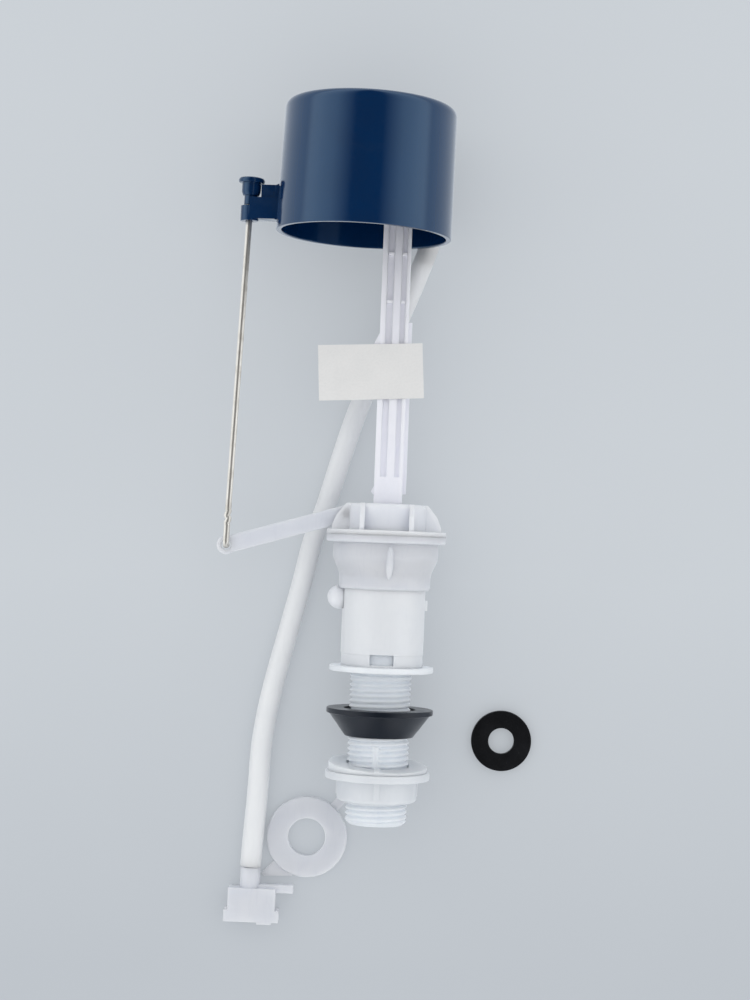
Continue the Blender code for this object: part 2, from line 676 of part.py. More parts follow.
def build_bowl(valve):
    """The bowl: flange, curved wall, floor with outlets, skirt over the riser and the central nozzle."""
    rim = DIAPHRAGM_DIAMETER / 2 + RUNNING_GAP
    recess = BOWL_TOP - DIAPHRAGM_RIM - SEAT_GAP
    neck = BOWL_NECK_RADIUS
    skirt = skirt_radius()
    bore = RISER_BORE_DIAMETER / 2
    outlet_side = SLEEVE_DIAMETER / 2 - SLEEVE_WALL
    wall_inside = [point for point in reversed(bowl_wall(-BOWL_WALL)) if point[1] > FLOOR_TOP]
    profile = [
        (HEAD_FLANGE_DIAMETER / 2, BOWL_TOP),
        (HEAD_FLANGE_DIAMETER / 2, BOWL_FLANGE_BASE),
        (BOWL_DIAMETER / 2, BOWL_FLANGE_BASE),
        *bowl_wall(0.0),
        (neck, BOWL_BASE),
        (outlet_side, BOWL_BASE),
        (outlet_side, FLOOR_BASE),
        (skirt, FLOOR_BASE),
        (skirt, FLOOR_BASE - BOWL_SKIRT_LENGTH),
        (skirt - BOWL_SKIRT_WALL, FLOOR_BASE - BOWL_SKIRT_LENGTH),
        (skirt - BOWL_SKIRT_WALL, RISER_TOP + SEAT_GAP),
        (bore, RISER_TOP + SEAT_GAP),
        (bore, NOZZLE_TIP),
        (bore + NOZZLE_WALL, NOZZLE_TIP),
        (bore + NOZZLE_WALL, FLOOR_TOP),
        (wall_inside[0][0], FLOOR_TOP),
        *wall_inside,
        (BOWL_DIAMETER / 2 - BOWL_WALL, recess),
        (rim, recess),
        (rim, BOWL_TOP),
    ]
    bowl = revolve("valve_bowl", profile, valve, finish=CLEAR_PLASTIC)
    middle = (skirt + outlet_side) / 2
    ends = []
    for i in range(OUTLET_COUNT):
        angle = 2 * math.pi * (i + 0.5) / OUTLET_COUNT
        x = middle * math.cos(angle)
        y = middle * math.sin(angle)
        ends.append(((x, y, FLOOR_BASE - MM), (x, y, FLOOR_TOP + MM)))
    cut(bowl, rods("bowl_outlets", ends, OUTLET_DIAMETER / 2, valve))
    curve = bowl_wall(0.0, 10)
    foot = bowl_wall(-BOWL_WALL / 2, 10)
    crown = []
    for i, (radius, height) in enumerate(curve):
        swell = math.sin(math.pi * i / (len(curve) - 1))
        crown.append((radius + FIN_HEIGHT * swell - 0.05 * MM, height))
    for side, turn in (("front", -math.pi / 2 + FIN_TURN), ("back", math.pi / 2 + FIN_TURN)):
        fin = plate(f"bowl_fin_{side}", crown + foot[::-1], FIN_WIDTH, valve, rotation=(0, 0, turn))
        join(bowl, fin)
    flap = [
        (outlet_side - SEAT_GAP, FLOOR_BASE - SEAT_GAP),
        (outlet_side - SEAT_GAP, FLOOR_BASE - SEAT_GAP - BACKFLOW_WASHER_THICKNESS),
        (skirt + SEAT_GAP, FLOOR_BASE - SEAT_GAP - BACKFLOW_WASHER_THICKNESS),
        (skirt + SEAT_GAP, FLOOR_BASE - SEAT_GAP),
    ]
    revolve("backflow_washer", flap, valve, finish=BLACK_RUBBER, steps=FINE_STEPS)


def build_diaphragm(valve):
    """The rubber diaphragm, clamped at its rim, and the hard plate and pin at its centre."""
    rim = DIAPHRAGM_DIAMETER / 2
    land = rim - 1.6 * MM
    stem = PLATE_STEM_DIAMETER / 2
    rim_top = BOWL_TOP
    rim_base = BOWL_TOP - DIAPHRAGM_RIM
    pad_base = NOZZLE_TIP + SEAT_GAP
    pad_top = pad_base + DIAPHRAGM_WEB
    pad_edge = PLATE_DIAMETER / 2 + DIAPHRAGM_WEB
    profile = [
        (stem + RUNNING_GAP, pad_top),
        (pad_edge, pad_top),
        (land - DIAPHRAGM_WEB, rim_top - SEAT_GAP / 2),
        (land, rim_top),
        (rim, rim_top),
        (rim, rim_base),
        (land, rim_base),
        (pad_edge + DIAPHRAGM_WEB, pad_base),
        (stem + RUNNING_GAP, pad_base),
    ]
    revolve("diaphragm", profile, valve, finish=BLACK_RUBBER)
    plate_base = pad_top + SEAT_GAP
    plate_top = plate_base + PLATE_THICKNESS
    profile = [
        (0.0, plate_top),
        (PLATE_DIAMETER / 2, plate_top),
        (PLATE_DIAMETER / 2, plate_base),
        (stem, plate_base),
        (stem, plate_base - PLATE_STEM_LENGTH),
        (0.0, plate_base - PLATE_STEM_LENGTH),
    ]
    revolve("diaphragm_plate", profile, valve, finish=GREY_PLASTIC, steps=FINE_STEPS)


def gusset_outline():
    """The gusset's profile: a foot on the flange and a convex outer edge up to the cap's top."""
    foot = GUSSET_FOOT_DIAMETER / 2
    top = GUSSET_TOP_DIAMETER / 2
    root = CAP_DRUM_DIAMETER / 4
    low = CAP_FLANGE_TOP - CAP_FLANGE_THICKNESS / 2
    outline = [(root, low), (foot, low), (foot, CAP_FLANGE_TOP)]
    count = 8
    for i in range(1, count + 1):
        angle = math.pi / 2 * i / count
        radius = top + (foot - top) * math.cos(angle) ** 0.9
        outline.append((radius, CAP_FLANGE_TOP + CAP_HEIGHT * math.sin(angle) ** 1.15))
    outline.append((root, CAP_TOP))
    return outline


def build_cap(valve):
    """The head cap: drum, six gussets, the lever's slot between two cheeks, and the post's socket."""
    drum = CAP_DRUM_DIAMETER / 2
    rounding = CAP_DRUM_ROUNDING
    chamber = CAP_BASE + CAP_CHAMBER_DEPTH
    corner = arc((drum - rounding, CAP_TOP - rounding), rounding, 90, 0, 4)
    profile = [
        (0.0, CAP_TOP),
        *corner,
        (drum, CAP_FLANGE_TOP),
        (HEAD_FLANGE_DIAMETER / 2, CAP_FLANGE_TOP),
        (HEAD_FLANGE_DIAMETER / 2, CAP_BASE),
        (CAP_CHAMBER_DIAMETER / 2, CAP_BASE),
        (CAP_CHAMBER_DIAMETER / 2, chamber),
        (0.0, chamber),
    ]
    cap = revolve("head_cap", profile, valve, finish=CLEAR_PLASTIC)
    cheeks = SLOT_WIDTH + 2 * CHEEK_THICKNESS
    for i in range(GUSSET_COUNT):
        turn = math.pi + 2 * math.pi * i / GUSSET_COUNT
        thickness = cheeks if i == 0 else GUSSET_THICKNESS
        join(cap, plate(f"gusset_{i}", gusset_outline(), thickness, valve, rotation=(0, 0, turn)))
    post_x = POST_WIDTH / 2 + SEAT_GAP
    post_y = POST_DEPTH / 2 + SEAT_GAP
    socket_base = CAP_TOP - POST_FOOT_LENGTH - SEAT_GAP
    socket = ((-post_x, -post_y, socket_base), (post_x, post_y, CAP_TOP + MM))
    slot_end = -post_x - 1.0 * MM
    slot = (
        (-HEAD_FLANGE_DIAMETER, -SLOT_WIDTH / 2, SLOT_FLOOR),
        (slot_end, SLOT_WIDTH / 2, CAP_TOP + MM),
    )
    pin_hole = LEVER_PIN_DIAMETER / 2 + SEAT_GAP
    depth = cheeks / 2 - LEVER_PIN_COVER
    across = Vector((0.0, depth, 0.0))
    pilot_x = LEVER_PIVOT.x + PAD_REACH
    pilot = ((pilot_x, 0.0, CAP_BASE), (pilot_x, 0.0, CAP_TOP))
    cut(
        cap,
        boxes("post_socket", [socket], valve),
        boxes("lever_slot", [slot], valve),
        rods("lever_pin_hole", [(LEVER_PIVOT - across, LEVER_PIVOT + across)], pin_hole, valve),
        rods("pilot_hole", [pilot], PILOT_HOLE_DIAMETER / 2, valve),
    )
    reach = Vector((0.0, depth - SEAT_GAP, 0.0))
    pin_ends = [(LEVER_PIVOT - reach, LEVER_PIVOT + reach)]
    rods("lever_pin", pin_ends, LEVER_PIN_DIAMETER / 2, valve, finish=STEEL)


def build_lever(valve):
    """The lever arm, dropped, with the eye at its outer end and the pilot pad under its toe."""
    pivot = add_empty("lever_pivot", valve, LEVER_PIVOT, (0, -LEVER_DROP_ANGLE, 0))
    half = LEVER_WIDTH / 2
    toe = LEVER_TOE_WIDTH / 2
    eye = LEVER_EYE_DIAMETER / 2
    lead = math.degrees(math.acos(half / eye))
    lean = math.degrees(math.asin(toe / half))
    outline = [
        *arc((-LEVER_LENGTH, 0.0), eye, 90 - lead, 270 + lead, 16),
        *arc((0.0, 0.0), half, -90, -lean, 6),
        (LEVER_TOE_LENGTH, -toe),
        (LEVER_TOE_LENGTH, toe),
        *arc((0.0, 0.0), half, lean, 90, 6),
    ]
    arm = plate("lever_arm", outline, LEVER_THICKNESS, pivot, finish=CLEAR_PLASTIC)
    through = Vector((0.0, LEVER_THICKNESS, 0.0))
    eye_at = Vector((-LEVER_LENGTH, 0.0, 0.0))
    eye_hole = rods("lever_eye_hole", [(eye_at - through, eye_at + through)], ROD_DIAMETER / 2 + PIVOT_GAP, pivot)
    pin_hole = rods("lever_hub_hole", [(-through, through)], LEVER_PIN_DIAMETER / 2 + RUNNING_GAP, pivot)
    cut(arm, eye_hole, pin_hole)
    pad_top = -toe - SEAT_GAP
    pad_foot = SLOT_FLOOR + SEAT_GAP - LEVER_PIVOT.z
    pad_ends = [((PAD_REACH, 0.0, pad_foot), (PAD_REACH, 0.0, pad_top))]
    rods("pilot_pad", pad_ends, PAD_DIAMETER / 2, pivot, finish=BLACK_RUBBER)


def post_cells():
    """The channel cells up the post, as (low, high) heights: one long cell, then one between each two webs."""
    cells = []
    high = POST_TOP + MM
    web_base = POST_TOP - POST_TOP_CELL - POST_WEB_THICKNESS
    for i in range(POST_WEB_COUNT):
        cells.append((web_base + POST_WEB_THICKNESS, high))
        high = web_base
        web_base -= POST_WEB_PITCH
    cells.append((CAP_TOP + POST_BASE_HEIGHT, high))
    return cells


def build_post(valve):
    """The guide post: two channels front and back, cross webs, a solid base, a latch nub and a side rail."""
    half_x = POST_WIDTH / 2
    half_y = POST_DEPTH / 2
    foot = CAP_TOP - POST_FOOT_LENGTH
    body = ((-half_x, -half_y, foot), (half_x, half_y, POST_TOP))
    post = boxes("guide_post", [body], valve, finish=WHITE_PLASTIC)
    channels = []
    webs_cut = []
    for side in (-1, 1):
        low_x, high_x = sorted((side * POST_RIB / 2, side * (half_x - POST_EDGE)))
        for face in (-1, 1):
            low_y, high_y = sorted((face * POST_CORE / 2, face * (half_y + MM)))
            skin_low, skin_high = sorted((face * (half_y - POST_WEB_SETBACK), face * (half_y + MM)))
            for low, high in post_cells():
                channels.append(((low_x, low_y, low), (high_x, high_y, high)))
            webs_cut.append(
                ((low_x, skin_low, CAP_TOP + POST_BASE_HEIGHT), (high_x, skin_high, POST_TOP + MM))
            )
    latch_low = CAP_TOP + POST_LATCH_HEIGHT - POST_LATCH_REACH
    latch = [
        (-half_x + POST_LATCH_REACH, latch_low),
        (-half_x, latch_low),
        (-half_x - POST_LATCH_REACH, latch_low + POST_LATCH_REACH),
        (-half_x, latch_low + 3 * POST_LATCH_REACH),
        (-half_x + POST_LATCH_REACH, latch_low + 3 * POST_LATCH_REACH),
    ]
    rail = (
        (half_x - POST_EDGE / 2, half_y - POST_EDGE - POST_RAIL_DEPTH, CAP_TOP + POST_RAIL_START),
        (half_x + POST_RAIL_REACH, half_y - POST_EDGE, CAP_TOP + POST_RAIL_START + POST_RAIL_LENGTH),
    )
    join(
        post,
        plate("post_latch", latch, POST_DEPTH / 2, valve),
        boxes("post_rail", [rail], valve),
    )
    cut(post, boxes("post_channels", channels, valve), boxes("post_web_fronts", webs_cut, valve))


def build_cup(valve):
    """The cup float: drafted shell with a rounded closed end, the square guide inside and the lug for the rod."""
    slide = add_empty("float_slide", valve, (0, 0, CUP_RIM))
    centre = Vector((-CUP_OFFSET, -CUP_DROP, 0.0))
    rim = CUP_RIM_DIAMETER / 2
    top = rim - CUP_DRAFT
    rounding = CUP_ROUNDING
    inner_rounding = max(rounding - CUP_WALL, 0.5 * MM)
    shell = [
        (0.0, CUP_HEIGHT),
        *arc((top - rounding, CUP_HEIGHT - rounding), rounding, 90, 0, 5),
        (rim, 0.0),
        (rim - CUP_WALL, 0.0),
        *arc((top - CUP_WALL - inner_rounding, CUP_HEIGHT - CUP_WALL - inner_rounding), inner_rounding, 0, 90, 3),
        (0.0, CUP_HEIGHT - CUP_WALL),
    ]
    cup = revolve("float_cup", shell, slide, location=centre, finish=NAVY_PLASTIC, steps=64)

    gap_x = POST_WIDTH / 2 + CUP_GUIDE_GAP
    gap_y = POST_DEPTH / 2 + CUP_GUIDE_GAP
    ceiling = CUP_HEIGHT - CUP_WALL
    guide = (
        (-gap_x - CUP_GUIDE_WALL, -gap_y - CUP_GUIDE_WALL, ceiling - CUP_GUIDE_LENGTH),
        (gap_x + CUP_GUIDE_WALL, gap_y + CUP_GUIDE_WALL, ceiling + CUP_WALL / 2),
    )
    way = ((-gap_x, -gap_y, 0.0), (gap_x, gap_y, ceiling))

    eye = LUG_EYE - Vector((0.0, 0.0, CUP_RIM))
    lug_base = LUG_BASE_HEIGHT
    wall_x = -CUP_OFFSET - math.sqrt((top - CUP_WALL / 2) ** 2 - (CUP_DROP + eye.y) ** 2)
    block_low = lug_base + LUG_BLOCK_START
    block_high = block_low + LUG_BLOCK_HEIGHT
    knob_under = ROD_TOP_LENGTH + KNOB_WALL_ABOVE_ROD - KNOB_HEAD_THICKNESS
    plate_high = eye.z + knob_under - PIVOT_GAP
    half_block = LUG_BLOCK_THICKNESS / 2
    half_plate = LUG_PLATE_THICKNESS / 2
    block = ((eye.x - LUG_BLOCK_WRAP, eye.y - half_block, block_low), (wall_x, eye.y + half_block, block_high))
    upper = (
        (eye.x + LUG_PLATE_SETBACK, eye.y - half_plate, block_high - MM),
        (wall_x, eye.y + half_plate, plate_high),
    )
    skin_x = wall_x - CUP_WALL / 2
    flare = [
        (skin_x - LUG_FLARE, block_low),
        (wall_x, block_low - LUG_FLARE),
        (wall_x, plate_high + LUG_FLARE),
        (skin_x - LUG_FLARE, plate_high - 0.2 * MM),
    ]
    eye_ring = [((eye.x, eye.y, lug_base), (eye.x, eye.y, lug_base + LUG_EYE_HEIGHT))]
    join(
        cup,
        boxes("cup_guide", [guide], slide),
        boxes("lug_block", [block], slide),
        boxes("lug_plate", [upper], slide),
        plate("lug_flare", flare, half_block + half_plate, slide, location=(0, eye.y, 0)),
        rods("lug_eye", eye_ring, LUG_EYE_DIAMETER / 2, slide),
    )
    along = Vector((math.sin(ROD_LEAN), 0.0, math.cos(ROD_LEAN)))
    bore = [(eye - 2 * LUG_EYE_HEIGHT * along, eye + 4 * LUG_EYE_HEIGHT * along)]
    neck_way = [(eye + LUG_EYE_HEIGHT / 2 * along, eye + 4 * LUG_EYE_HEIGHT * along)]
    cut(
        cup,
        boxes("guide_way", [way], slide),
        rods("lug_bore", bore, ROD_DIAMETER / 2 + RUNNING_GAP, slide),
        rods("lug_neck_way", neck_way, KNOB_NECK_DIAMETER / 2 + RUNNING_GAP, slide),
    )


def rod_route():
    """The link rod's centreline in its own frame, top to hook: straight, a small kink, then the bend to the back."""
    points = [Vector((0.0, 0.0, ROD_TOP_LENGTH)), Vector((0.0, 0.0, -ROD_DROP / 2))]
    kink_top = -ROD_DROP + ROD_KINK_HEIGHT + ROD_KINK_LENGTH / 2
    count = 10
    for i in range(count + 1):
        share = i / count
        sway = ROD_KINK_DEPTH * math.sin(2 * math.pi * share) * math.sin(math.pi * share)
        points.append(Vector((sway, 0.0, kink_top - ROD_KINK_LENGTH * share)))
    bend = ROD_HOOK_RADIUS
    for i in range(7):
        angle = math.pi / 2 * i / 6
        points.append(Vector((0.0, bend - bend * math.cos(angle), -ROD_DROP + bend - bend * math.sin(angle))))
    tip = ROD_FRONT + LEVER_THICKNESS / 2 + ROD_HOOK_END
    points.append(Vector((0.0, tip, -ROD_DROP)))
    return points


def wire(name, points, diameter, sides, parent, location=(0, 0, 0), rotation=(0, 0, 0), finish=None):
    """A round wire or tube along the points, with closed ends."""
    curve = bpy.data.curves.new(name, "CURVE")
    curve.dimensions = "3D"
    curve.bevel_depth = diameter / 2
    curve.bevel_resolution = sides
    curve.use_fill_caps = True
    spline = curve.splines.new("POLY")
    spline.points.add(len(points) - 1)
    for point, place in zip(spline.points, points):
        point.co = (*place, 1.0)
        point.radius = 1.0
    spline.use_smooth = True
    return add_object(name, curve, parent, location, rotation, finish)


def build_rod(valve):
    """The steel link rod from the lug to the lever's eye, and the knob on its top end."""
    swing = add_empty("rod_swing", valve, LUG_EYE, (0, ROD_LEAN, 0))
    wire("link_rod", rod_route(), ROD_DIAMETER, 3, swing, finish=STEEL)
    head = KNOB_HEAD_DIAMETER / 2
    barrel = KNOB_BARREL_DIAMETER / 2
    neck = KNOB_NECK_DIAMETER / 2
    neck_foot = LUG_EYE_HEIGHT / 2 + RUNNING_GAP
    bore = ROD_DIAMETER / 2 + SEAT_GAP
    top = ROD_TOP_LENGTH + KNOB_WALL_ABOVE_ROD
    under = top - KNOB_HEAD_THICKNESS
    foot = under - KNOB_BARREL_LENGTH
    profile = [
        (0.0, top),
        (head * 0.6, top - 0.1 * KNOB_HEAD_THICKNESS),
        (head * 0.9, top - 0.35 * KNOB_HEAD_THICKNESS),
        (head, top - 0.6 * KNOB_HEAD_THICKNESS),
        (head * 0.9, top - 0.85 * KNOB_HEAD_THICKNESS),
        (barrel, under),
        (barrel * 0.97, foot + KNOB_BARREL_LENGTH * 0.35),
        (neck, foot),
        (neck, neck_foot),
        (bore, neck_foot),
        (bore, ROD_TOP_LENGTH + SEAT_GAP),
        (0.0, ROD_TOP_LENGTH + SEAT_GAP),
    ]
    revolve("adjusting_knob", profile, swing, finish=NAVY_PLASTIC, steps=FINE_STEPS)


def build_shank_fittings(valve):
    """The cone washer, and the lock nut with its flat washer, loose on the thread."""
    top = CONE_TOP_DIAMETER / 2
    foot = CONE_FOOT_DIAMETER / 2
    cone_slide = add_empty("cone_washer_slide", valve, (0, 0, CONE_STATION))
    cone = [
        (top, CONE_HEIGHT),
        (top, CONE_HEIGHT - CONE_LIP),
        (top - CONE_LIP / 2, CONE_HEIGHT - CONE_LIP),
        (foot, 0.0),
        (THREAD_BORE, 0.0),
        (THREAD_BORE, CONE_HEIGHT - CONE_MOUTH),
        (THREAD_BORE + CONE_MOUTH, CONE_HEIGHT - CONE_MOUTH / 2),
        (THREAD_BORE + CONE_MOUTH, CONE_HEIGHT),
    ]
    revolve("cone_washer", cone, cone_slide, finish=BLACK_RUBBER)

    nut_slide = add_empty("lock_nut_slide", valve, (0, 0, NUT_STATION))
    flange = NUT_FLANGE_DIAMETER / 2
    body = NUT_BODY_DIAMETER / 2
    face = NUT_BODY_HEIGHT + NUT_FLANGE_THICKNESS
    edge = NUT_FLANGE_THICKNESS / 4
    nut_profile = [
        (flange - edge, face),
        (flange, face - edge),
        (flange, NUT_BODY_HEIGHT + edge),
        (flange - edge, NUT_BODY_HEIGHT),
        (body, NUT_BODY_HEIGHT),
        *arc((body - NUT_ROUNDING, NUT_ROUNDING), NUT_ROUNDING, 0, -90, 5),
        (THREAD_BORE, 0.0),
        (THREAD_BORE, face),
    ]
    nut = revolve("lock_nut", nut_profile, nut_slide, finish=WHITE_PLASTIC)
    for i in range(NUT_RIB_COUNT):
        rib = (
            (THREAD_BORE + (body - THREAD_BORE) / 2, -NUT_RIB_WIDTH / 2, NUT_ROUNDING),
            (body + NUT_RIB_HEIGHT, NUT_RIB_WIDTH / 2, NUT_BODY_HEIGHT + NUT_FLANGE_THICKNESS / 2),
        )
        turn = (0, 0, 2 * math.pi * i / NUT_RIB_COUNT)
        join(nut, boxes(f"nut_rib_{i}", [rib], nut_slide, rotation=turn))

    ring = NUT_WASHER_DIAMETER / 2
    hole = THREAD_BORE + NUT_WASHER_PLAY
    half = NUT_WASHER_THICKNESS / 2
    washer = [(ring, half), (ring, -half), (hole, -half), (hole, half)]
    lean = math.acos(math.cos(NUT_WASHER_TILT) * math.cos(NUT_WASHER_ROLL))
    lift = ring * math.sin(lean) + half * math.cos(lean) + SEAT_GAP
    sag = NUT_WASHER_PLAY - SEAT_GAP
    place = (0.0, sag, NUT_TOP - NUT_STATION + lift)
    revolve("nut_washer", washer, nut_slide, place, (NUT_WASHER_TILT, NUT_WASHER_ROLL, 0), WHITE_PLASTIC)


def build_loose_pieces(bench):
    """The rubber washer and the eared plastic ring that lie beside the valve."""
    x, y = INLET_WASHER_PLACE
    outer = INLET_WASHER_DIAMETER / 2
    hole = INLET_WASHER_HOLE / 2
    high = INLET_WASHER_THICKNESS
    edge = INLET_WASHER_THICKNESS / 8
    washer = [
        (outer - edge, high),
        (outer, high - edge),
        (outer, edge),
        (outer - edge, 0.0),
        (hole, 0.0),
        (hole, high),
    ]
    revolve("inlet_washer", washer, bench, (x, y, 0), finish=BLACK_RUBBER)

    x, y = RING_PLACE
    outer = RING_DIAMETER / 2
    hole = RING_HOLE / 2
    edge = RING_THICKNESS / 4
    ring_profile = [
        (outer - edge, RING_THICKNESS),
        (outer, RING_THICKNESS - edge),
        (outer, 0.0),
        (hole, 0.0),
        (hole, RING_THICKNESS),
    ]
    ring = revolve("retaining_ring", ring_profile, bench, (x, y, 0), finish=CLEAR_PLASTIC)
    root = hole + (outer - hole) / 2
    tip = outer + EAR_REACH
    side = EAR_WIDTH / 2
    strip_ear = [(root, -side), (tip, -side), (tip, side), (root, side)]
    web_ear = [
        (root, -side),
        (tip, -side),
        (tip, EAR_TIP_WIDTH - side),
        (outer - EAR_WIDTH / 3, EAR_WEB_WIDTH),
        (root, side),
    ]
    flat = Euler((math.radians(-90), 0, 0)).to_matrix()
    for name, ear, angle in (
        ("ring_strip_ear", strip_ear, STRIP_EAR_ANGLE),
        ("ring_web_ear", web_ear, WEB_EAR_ANGLE),
    ):
        turn = (Euler((0, 0, angle)).to_matrix() @ flat).to_euler()
        join(ring, plate(name, ear, EAR_THICKNESS, bench, (x, y, EAR_THICKNESS / 2), turn))


def smooth_route(points, count):
    """Evenly spaced points on a smooth curve through the given ones."""
    ends = [2 * points[0] - points[1], *points, 2 * points[-1] - points[-2]]
    dense = []
    for a, b, c, d in zip(ends, ends[1:], ends[2:], ends[3:]):
        for i in range(20):
            t = i / 20
            dense.append(
                0.5
                * (
                    2 * b
                    + (c - a) * t
                    + (2 * a - 5 * b + 4 * c - d) * t**2
                    + (3 * b - a - 3 * c + d) * t**3
                )
            )
    dense.append(points[-1])
    lengths = [0.0]
    for a, b in zip(dense, dense[1:]):
        lengths.append(lengths[-1] + (b - a).length)
    made = []
    index = 0
    for i in range(count):
        target = lengths[-1] * i / (count - 1)
        while index < len(dense) - 2 and lengths[index + 1] < target:
            index += 1
        step = lengths[index + 1] - lengths[index]
        made.append(dense[index].lerp(dense[index + 1], (target - lengths[index]) / step))
    return made


def build_tube(bench):
    """The refill tube, lying on the surface, and the overflow clip at its lower end."""
    height = TUBE_DIAMETER / 2
    route = [Vector((x * MM, y * MM, height)) for x, y in TUBE_ROUTE_MM]
    wire("refill_tube", smooth_route(route, TUBE_POINT_COUNT), TUBE_DIAMETER, 4, bench, finish=FROSTED_PLASTIC)

    start = route[0]
    neck_top = start.y - SEAT_GAP
    block_top = neck_top - CLIP_NECK_LENGTH
    block_low = block_top - CLIP_BLOCK_LENGTH
    block_x = start.x + CLIP_OFFSET
    half = CLIP_BLOCK_WIDTH / 2
    half_lip = CLIP_LIP_WIDTH / 2
    thick = CLIP_BLOCK_THICKNESS
    lip_low = block_low - CLIP_LIP_LENGTH
    block = ((block_x - half, block_low, 0.0), (block_x + half, block_top, thick))
    lip = ((block_x - half_lip, lip_low, 0.0), (block_x + half_lip, block_low + CLIP_LIP_LENGTH / 4, thick))
    arm = (
        (block_x, block_top - CLIP_ARM_WIDTH / 2, height - CLIP_ARM_THICKNESS / 2),
        (start.x + CLIP_ARM_REACH, block_top + CLIP_ARM_WIDTH / 2, height + CLIP_ARM_THICKNESS / 2),
    )
    tab = (
        (block_x + half / 4, lip_low - CLIP_TAB_LENGTH, thick - CLIP_TAB_LENGTH),
        (block_x + half / 4 + CLIP_TAB_WIDTH, lip_low + CLIP_TAB_LENGTH, thick),
    )
    wall = (thick - CLIP_SLOT) / 2
    slot = (
        (block_x - 2 * half, lip_low - CLIP_LIP_LENGTH, wall),
        (block_x + 2 * half, block_top - CLIP_BRIDGE, wall + CLIP_SLOT),
    )
    clip = boxes("overflow_clip", [block], bench, finish=CLEAR_PLASTIC)
    neck = [((start.x, block_top - CLIP_BRIDGE / 2, height), (start.x, neck_top, height))]
    join(
        clip,
        boxes("clip_lip", [lip], bench),
        boxes("clip_arm", [arm], bench),
        boxes("clip_tab", [tab], bench),
        rods("clip_neck", neck, CLIP_NECK_DIAMETER / 2, bench),
    )
    cut(clip, boxes("clip_slot", [slot], bench))


def centre_on_footprint(groups, cords):
    """Moves the groups so that the origin is the middle of the footprint, leaving the cords out of the box."""
    bpy.context.view_layer.update()
    graph = bpy.context.evaluated_depsgraph_get()
    low = Vector((math.inf, math.inf))
    high = Vector((-math.inf, -math.inf))
    for obj in parts.objects:
        if obj.type == "EMPTY" or obj.name in cords:
            continue
        solid = obj.evaluated_get(graph)
        mesh = solid.to_mesh()
        for vertex in mesh.vertices:
            place = solid.matrix_world @ vertex.co
            low = Vector((min(low.x, place.x), min(low.y, place.y)))
            high = Vector((max(high.x, place.x), max(high.y, place.y)))
        solid.to_mesh_clear()
    middle = (low + high) / 2
    for group in groups:
        group.location.x -= middle.x
        group.location.y -= middle.y
    bpy.context.view_layer.update()


clear_scene()
parts = new_collection("toilet_fill_valve")
tools = new_collection("cutters")
valve_frame = add_empty("valve_frame", None, (0, 0, AXIS_HEIGHT), (math.radians(-90), 0, 0))
bench_frame = add_empty("bench_frame")
build_shank(valve_frame)
build_inlet_inserts(valve_frame)
build_sleeve(valve_frame)
build_elbow(valve_frame)
build_bowl(valve_frame)
build_diaphragm(valve_frame)
build_cap(valve_frame)
build_lever(valve_frame)
build_post(valve_frame)
build_cup(valve_frame)
build_rod(valve_frame)
build_shank_fittings(valve_frame)
build_loose_pieces(bench_frame)
build_tube(bench_frame)
centre_on_footprint((valve_frame, bench_frame), ("refill_tube",))
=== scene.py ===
"""Dresses a toilet fill valve that lies on its back: moulded plastics, rubber, a steel rod and a soft tube.

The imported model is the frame. Each class below makes the shown meshes of one sub-assembly in the frame's
metres, rides them on the frame's bodies and gives them their finishes.
"""

import json
import logging
import math
from dataclasses import dataclass
from enum import Enum
from typing import Callable, Iterable, Sequence

import bmesh
import bpy
from mathutils import Matrix, Vector

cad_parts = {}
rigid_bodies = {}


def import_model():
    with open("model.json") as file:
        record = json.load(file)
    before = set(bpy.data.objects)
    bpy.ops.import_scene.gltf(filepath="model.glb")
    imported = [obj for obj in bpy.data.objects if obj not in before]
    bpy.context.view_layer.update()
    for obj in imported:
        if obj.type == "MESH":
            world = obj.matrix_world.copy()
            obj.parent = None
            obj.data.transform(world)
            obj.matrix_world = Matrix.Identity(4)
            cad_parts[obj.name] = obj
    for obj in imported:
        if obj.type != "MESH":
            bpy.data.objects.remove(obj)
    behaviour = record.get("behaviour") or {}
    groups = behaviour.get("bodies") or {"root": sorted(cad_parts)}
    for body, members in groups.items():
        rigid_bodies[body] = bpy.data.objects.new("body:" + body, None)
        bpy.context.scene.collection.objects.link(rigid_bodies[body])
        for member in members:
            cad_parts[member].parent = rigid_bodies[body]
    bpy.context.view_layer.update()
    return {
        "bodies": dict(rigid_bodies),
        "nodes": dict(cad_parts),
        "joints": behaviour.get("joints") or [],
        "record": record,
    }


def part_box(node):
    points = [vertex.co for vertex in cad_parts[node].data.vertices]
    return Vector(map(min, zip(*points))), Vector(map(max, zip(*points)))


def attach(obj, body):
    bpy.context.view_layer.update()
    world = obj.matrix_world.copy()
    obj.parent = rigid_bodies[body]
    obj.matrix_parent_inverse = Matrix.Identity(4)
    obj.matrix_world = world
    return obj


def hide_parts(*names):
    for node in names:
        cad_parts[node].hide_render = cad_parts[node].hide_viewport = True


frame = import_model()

LOG = logging.getLogger("fill_valve")
MM = 0.001
Profile = list[tuple[float, float]]
Corner = tuple[float, ...]
Point = tuple[float, float, float]
Colour = tuple[float, float, float]
Builder = Callable[[bmesh.types.BMesh], list]


class Body(Enum):
    """The moving groups of the frame."""

    VALVE = "valve_body"
    FLOAT = "float"
    ROD = "rod"
    KNOB = "knob"
    LEVER = "lever"
    CONE = "cone"
    CARRIER = "nut_carrier"
    NUT = "nut"


class Slot(Enum):
    """The record's material slots."""

    WHITE = "white_plastic"
    CLEAR = "translucent_plastic"
    TUBE = "frosted_tube"
    NAVY = "navy_plastic"
    RUBBER = "black_rubber"
    STEEL = "steel"


# Node graphs


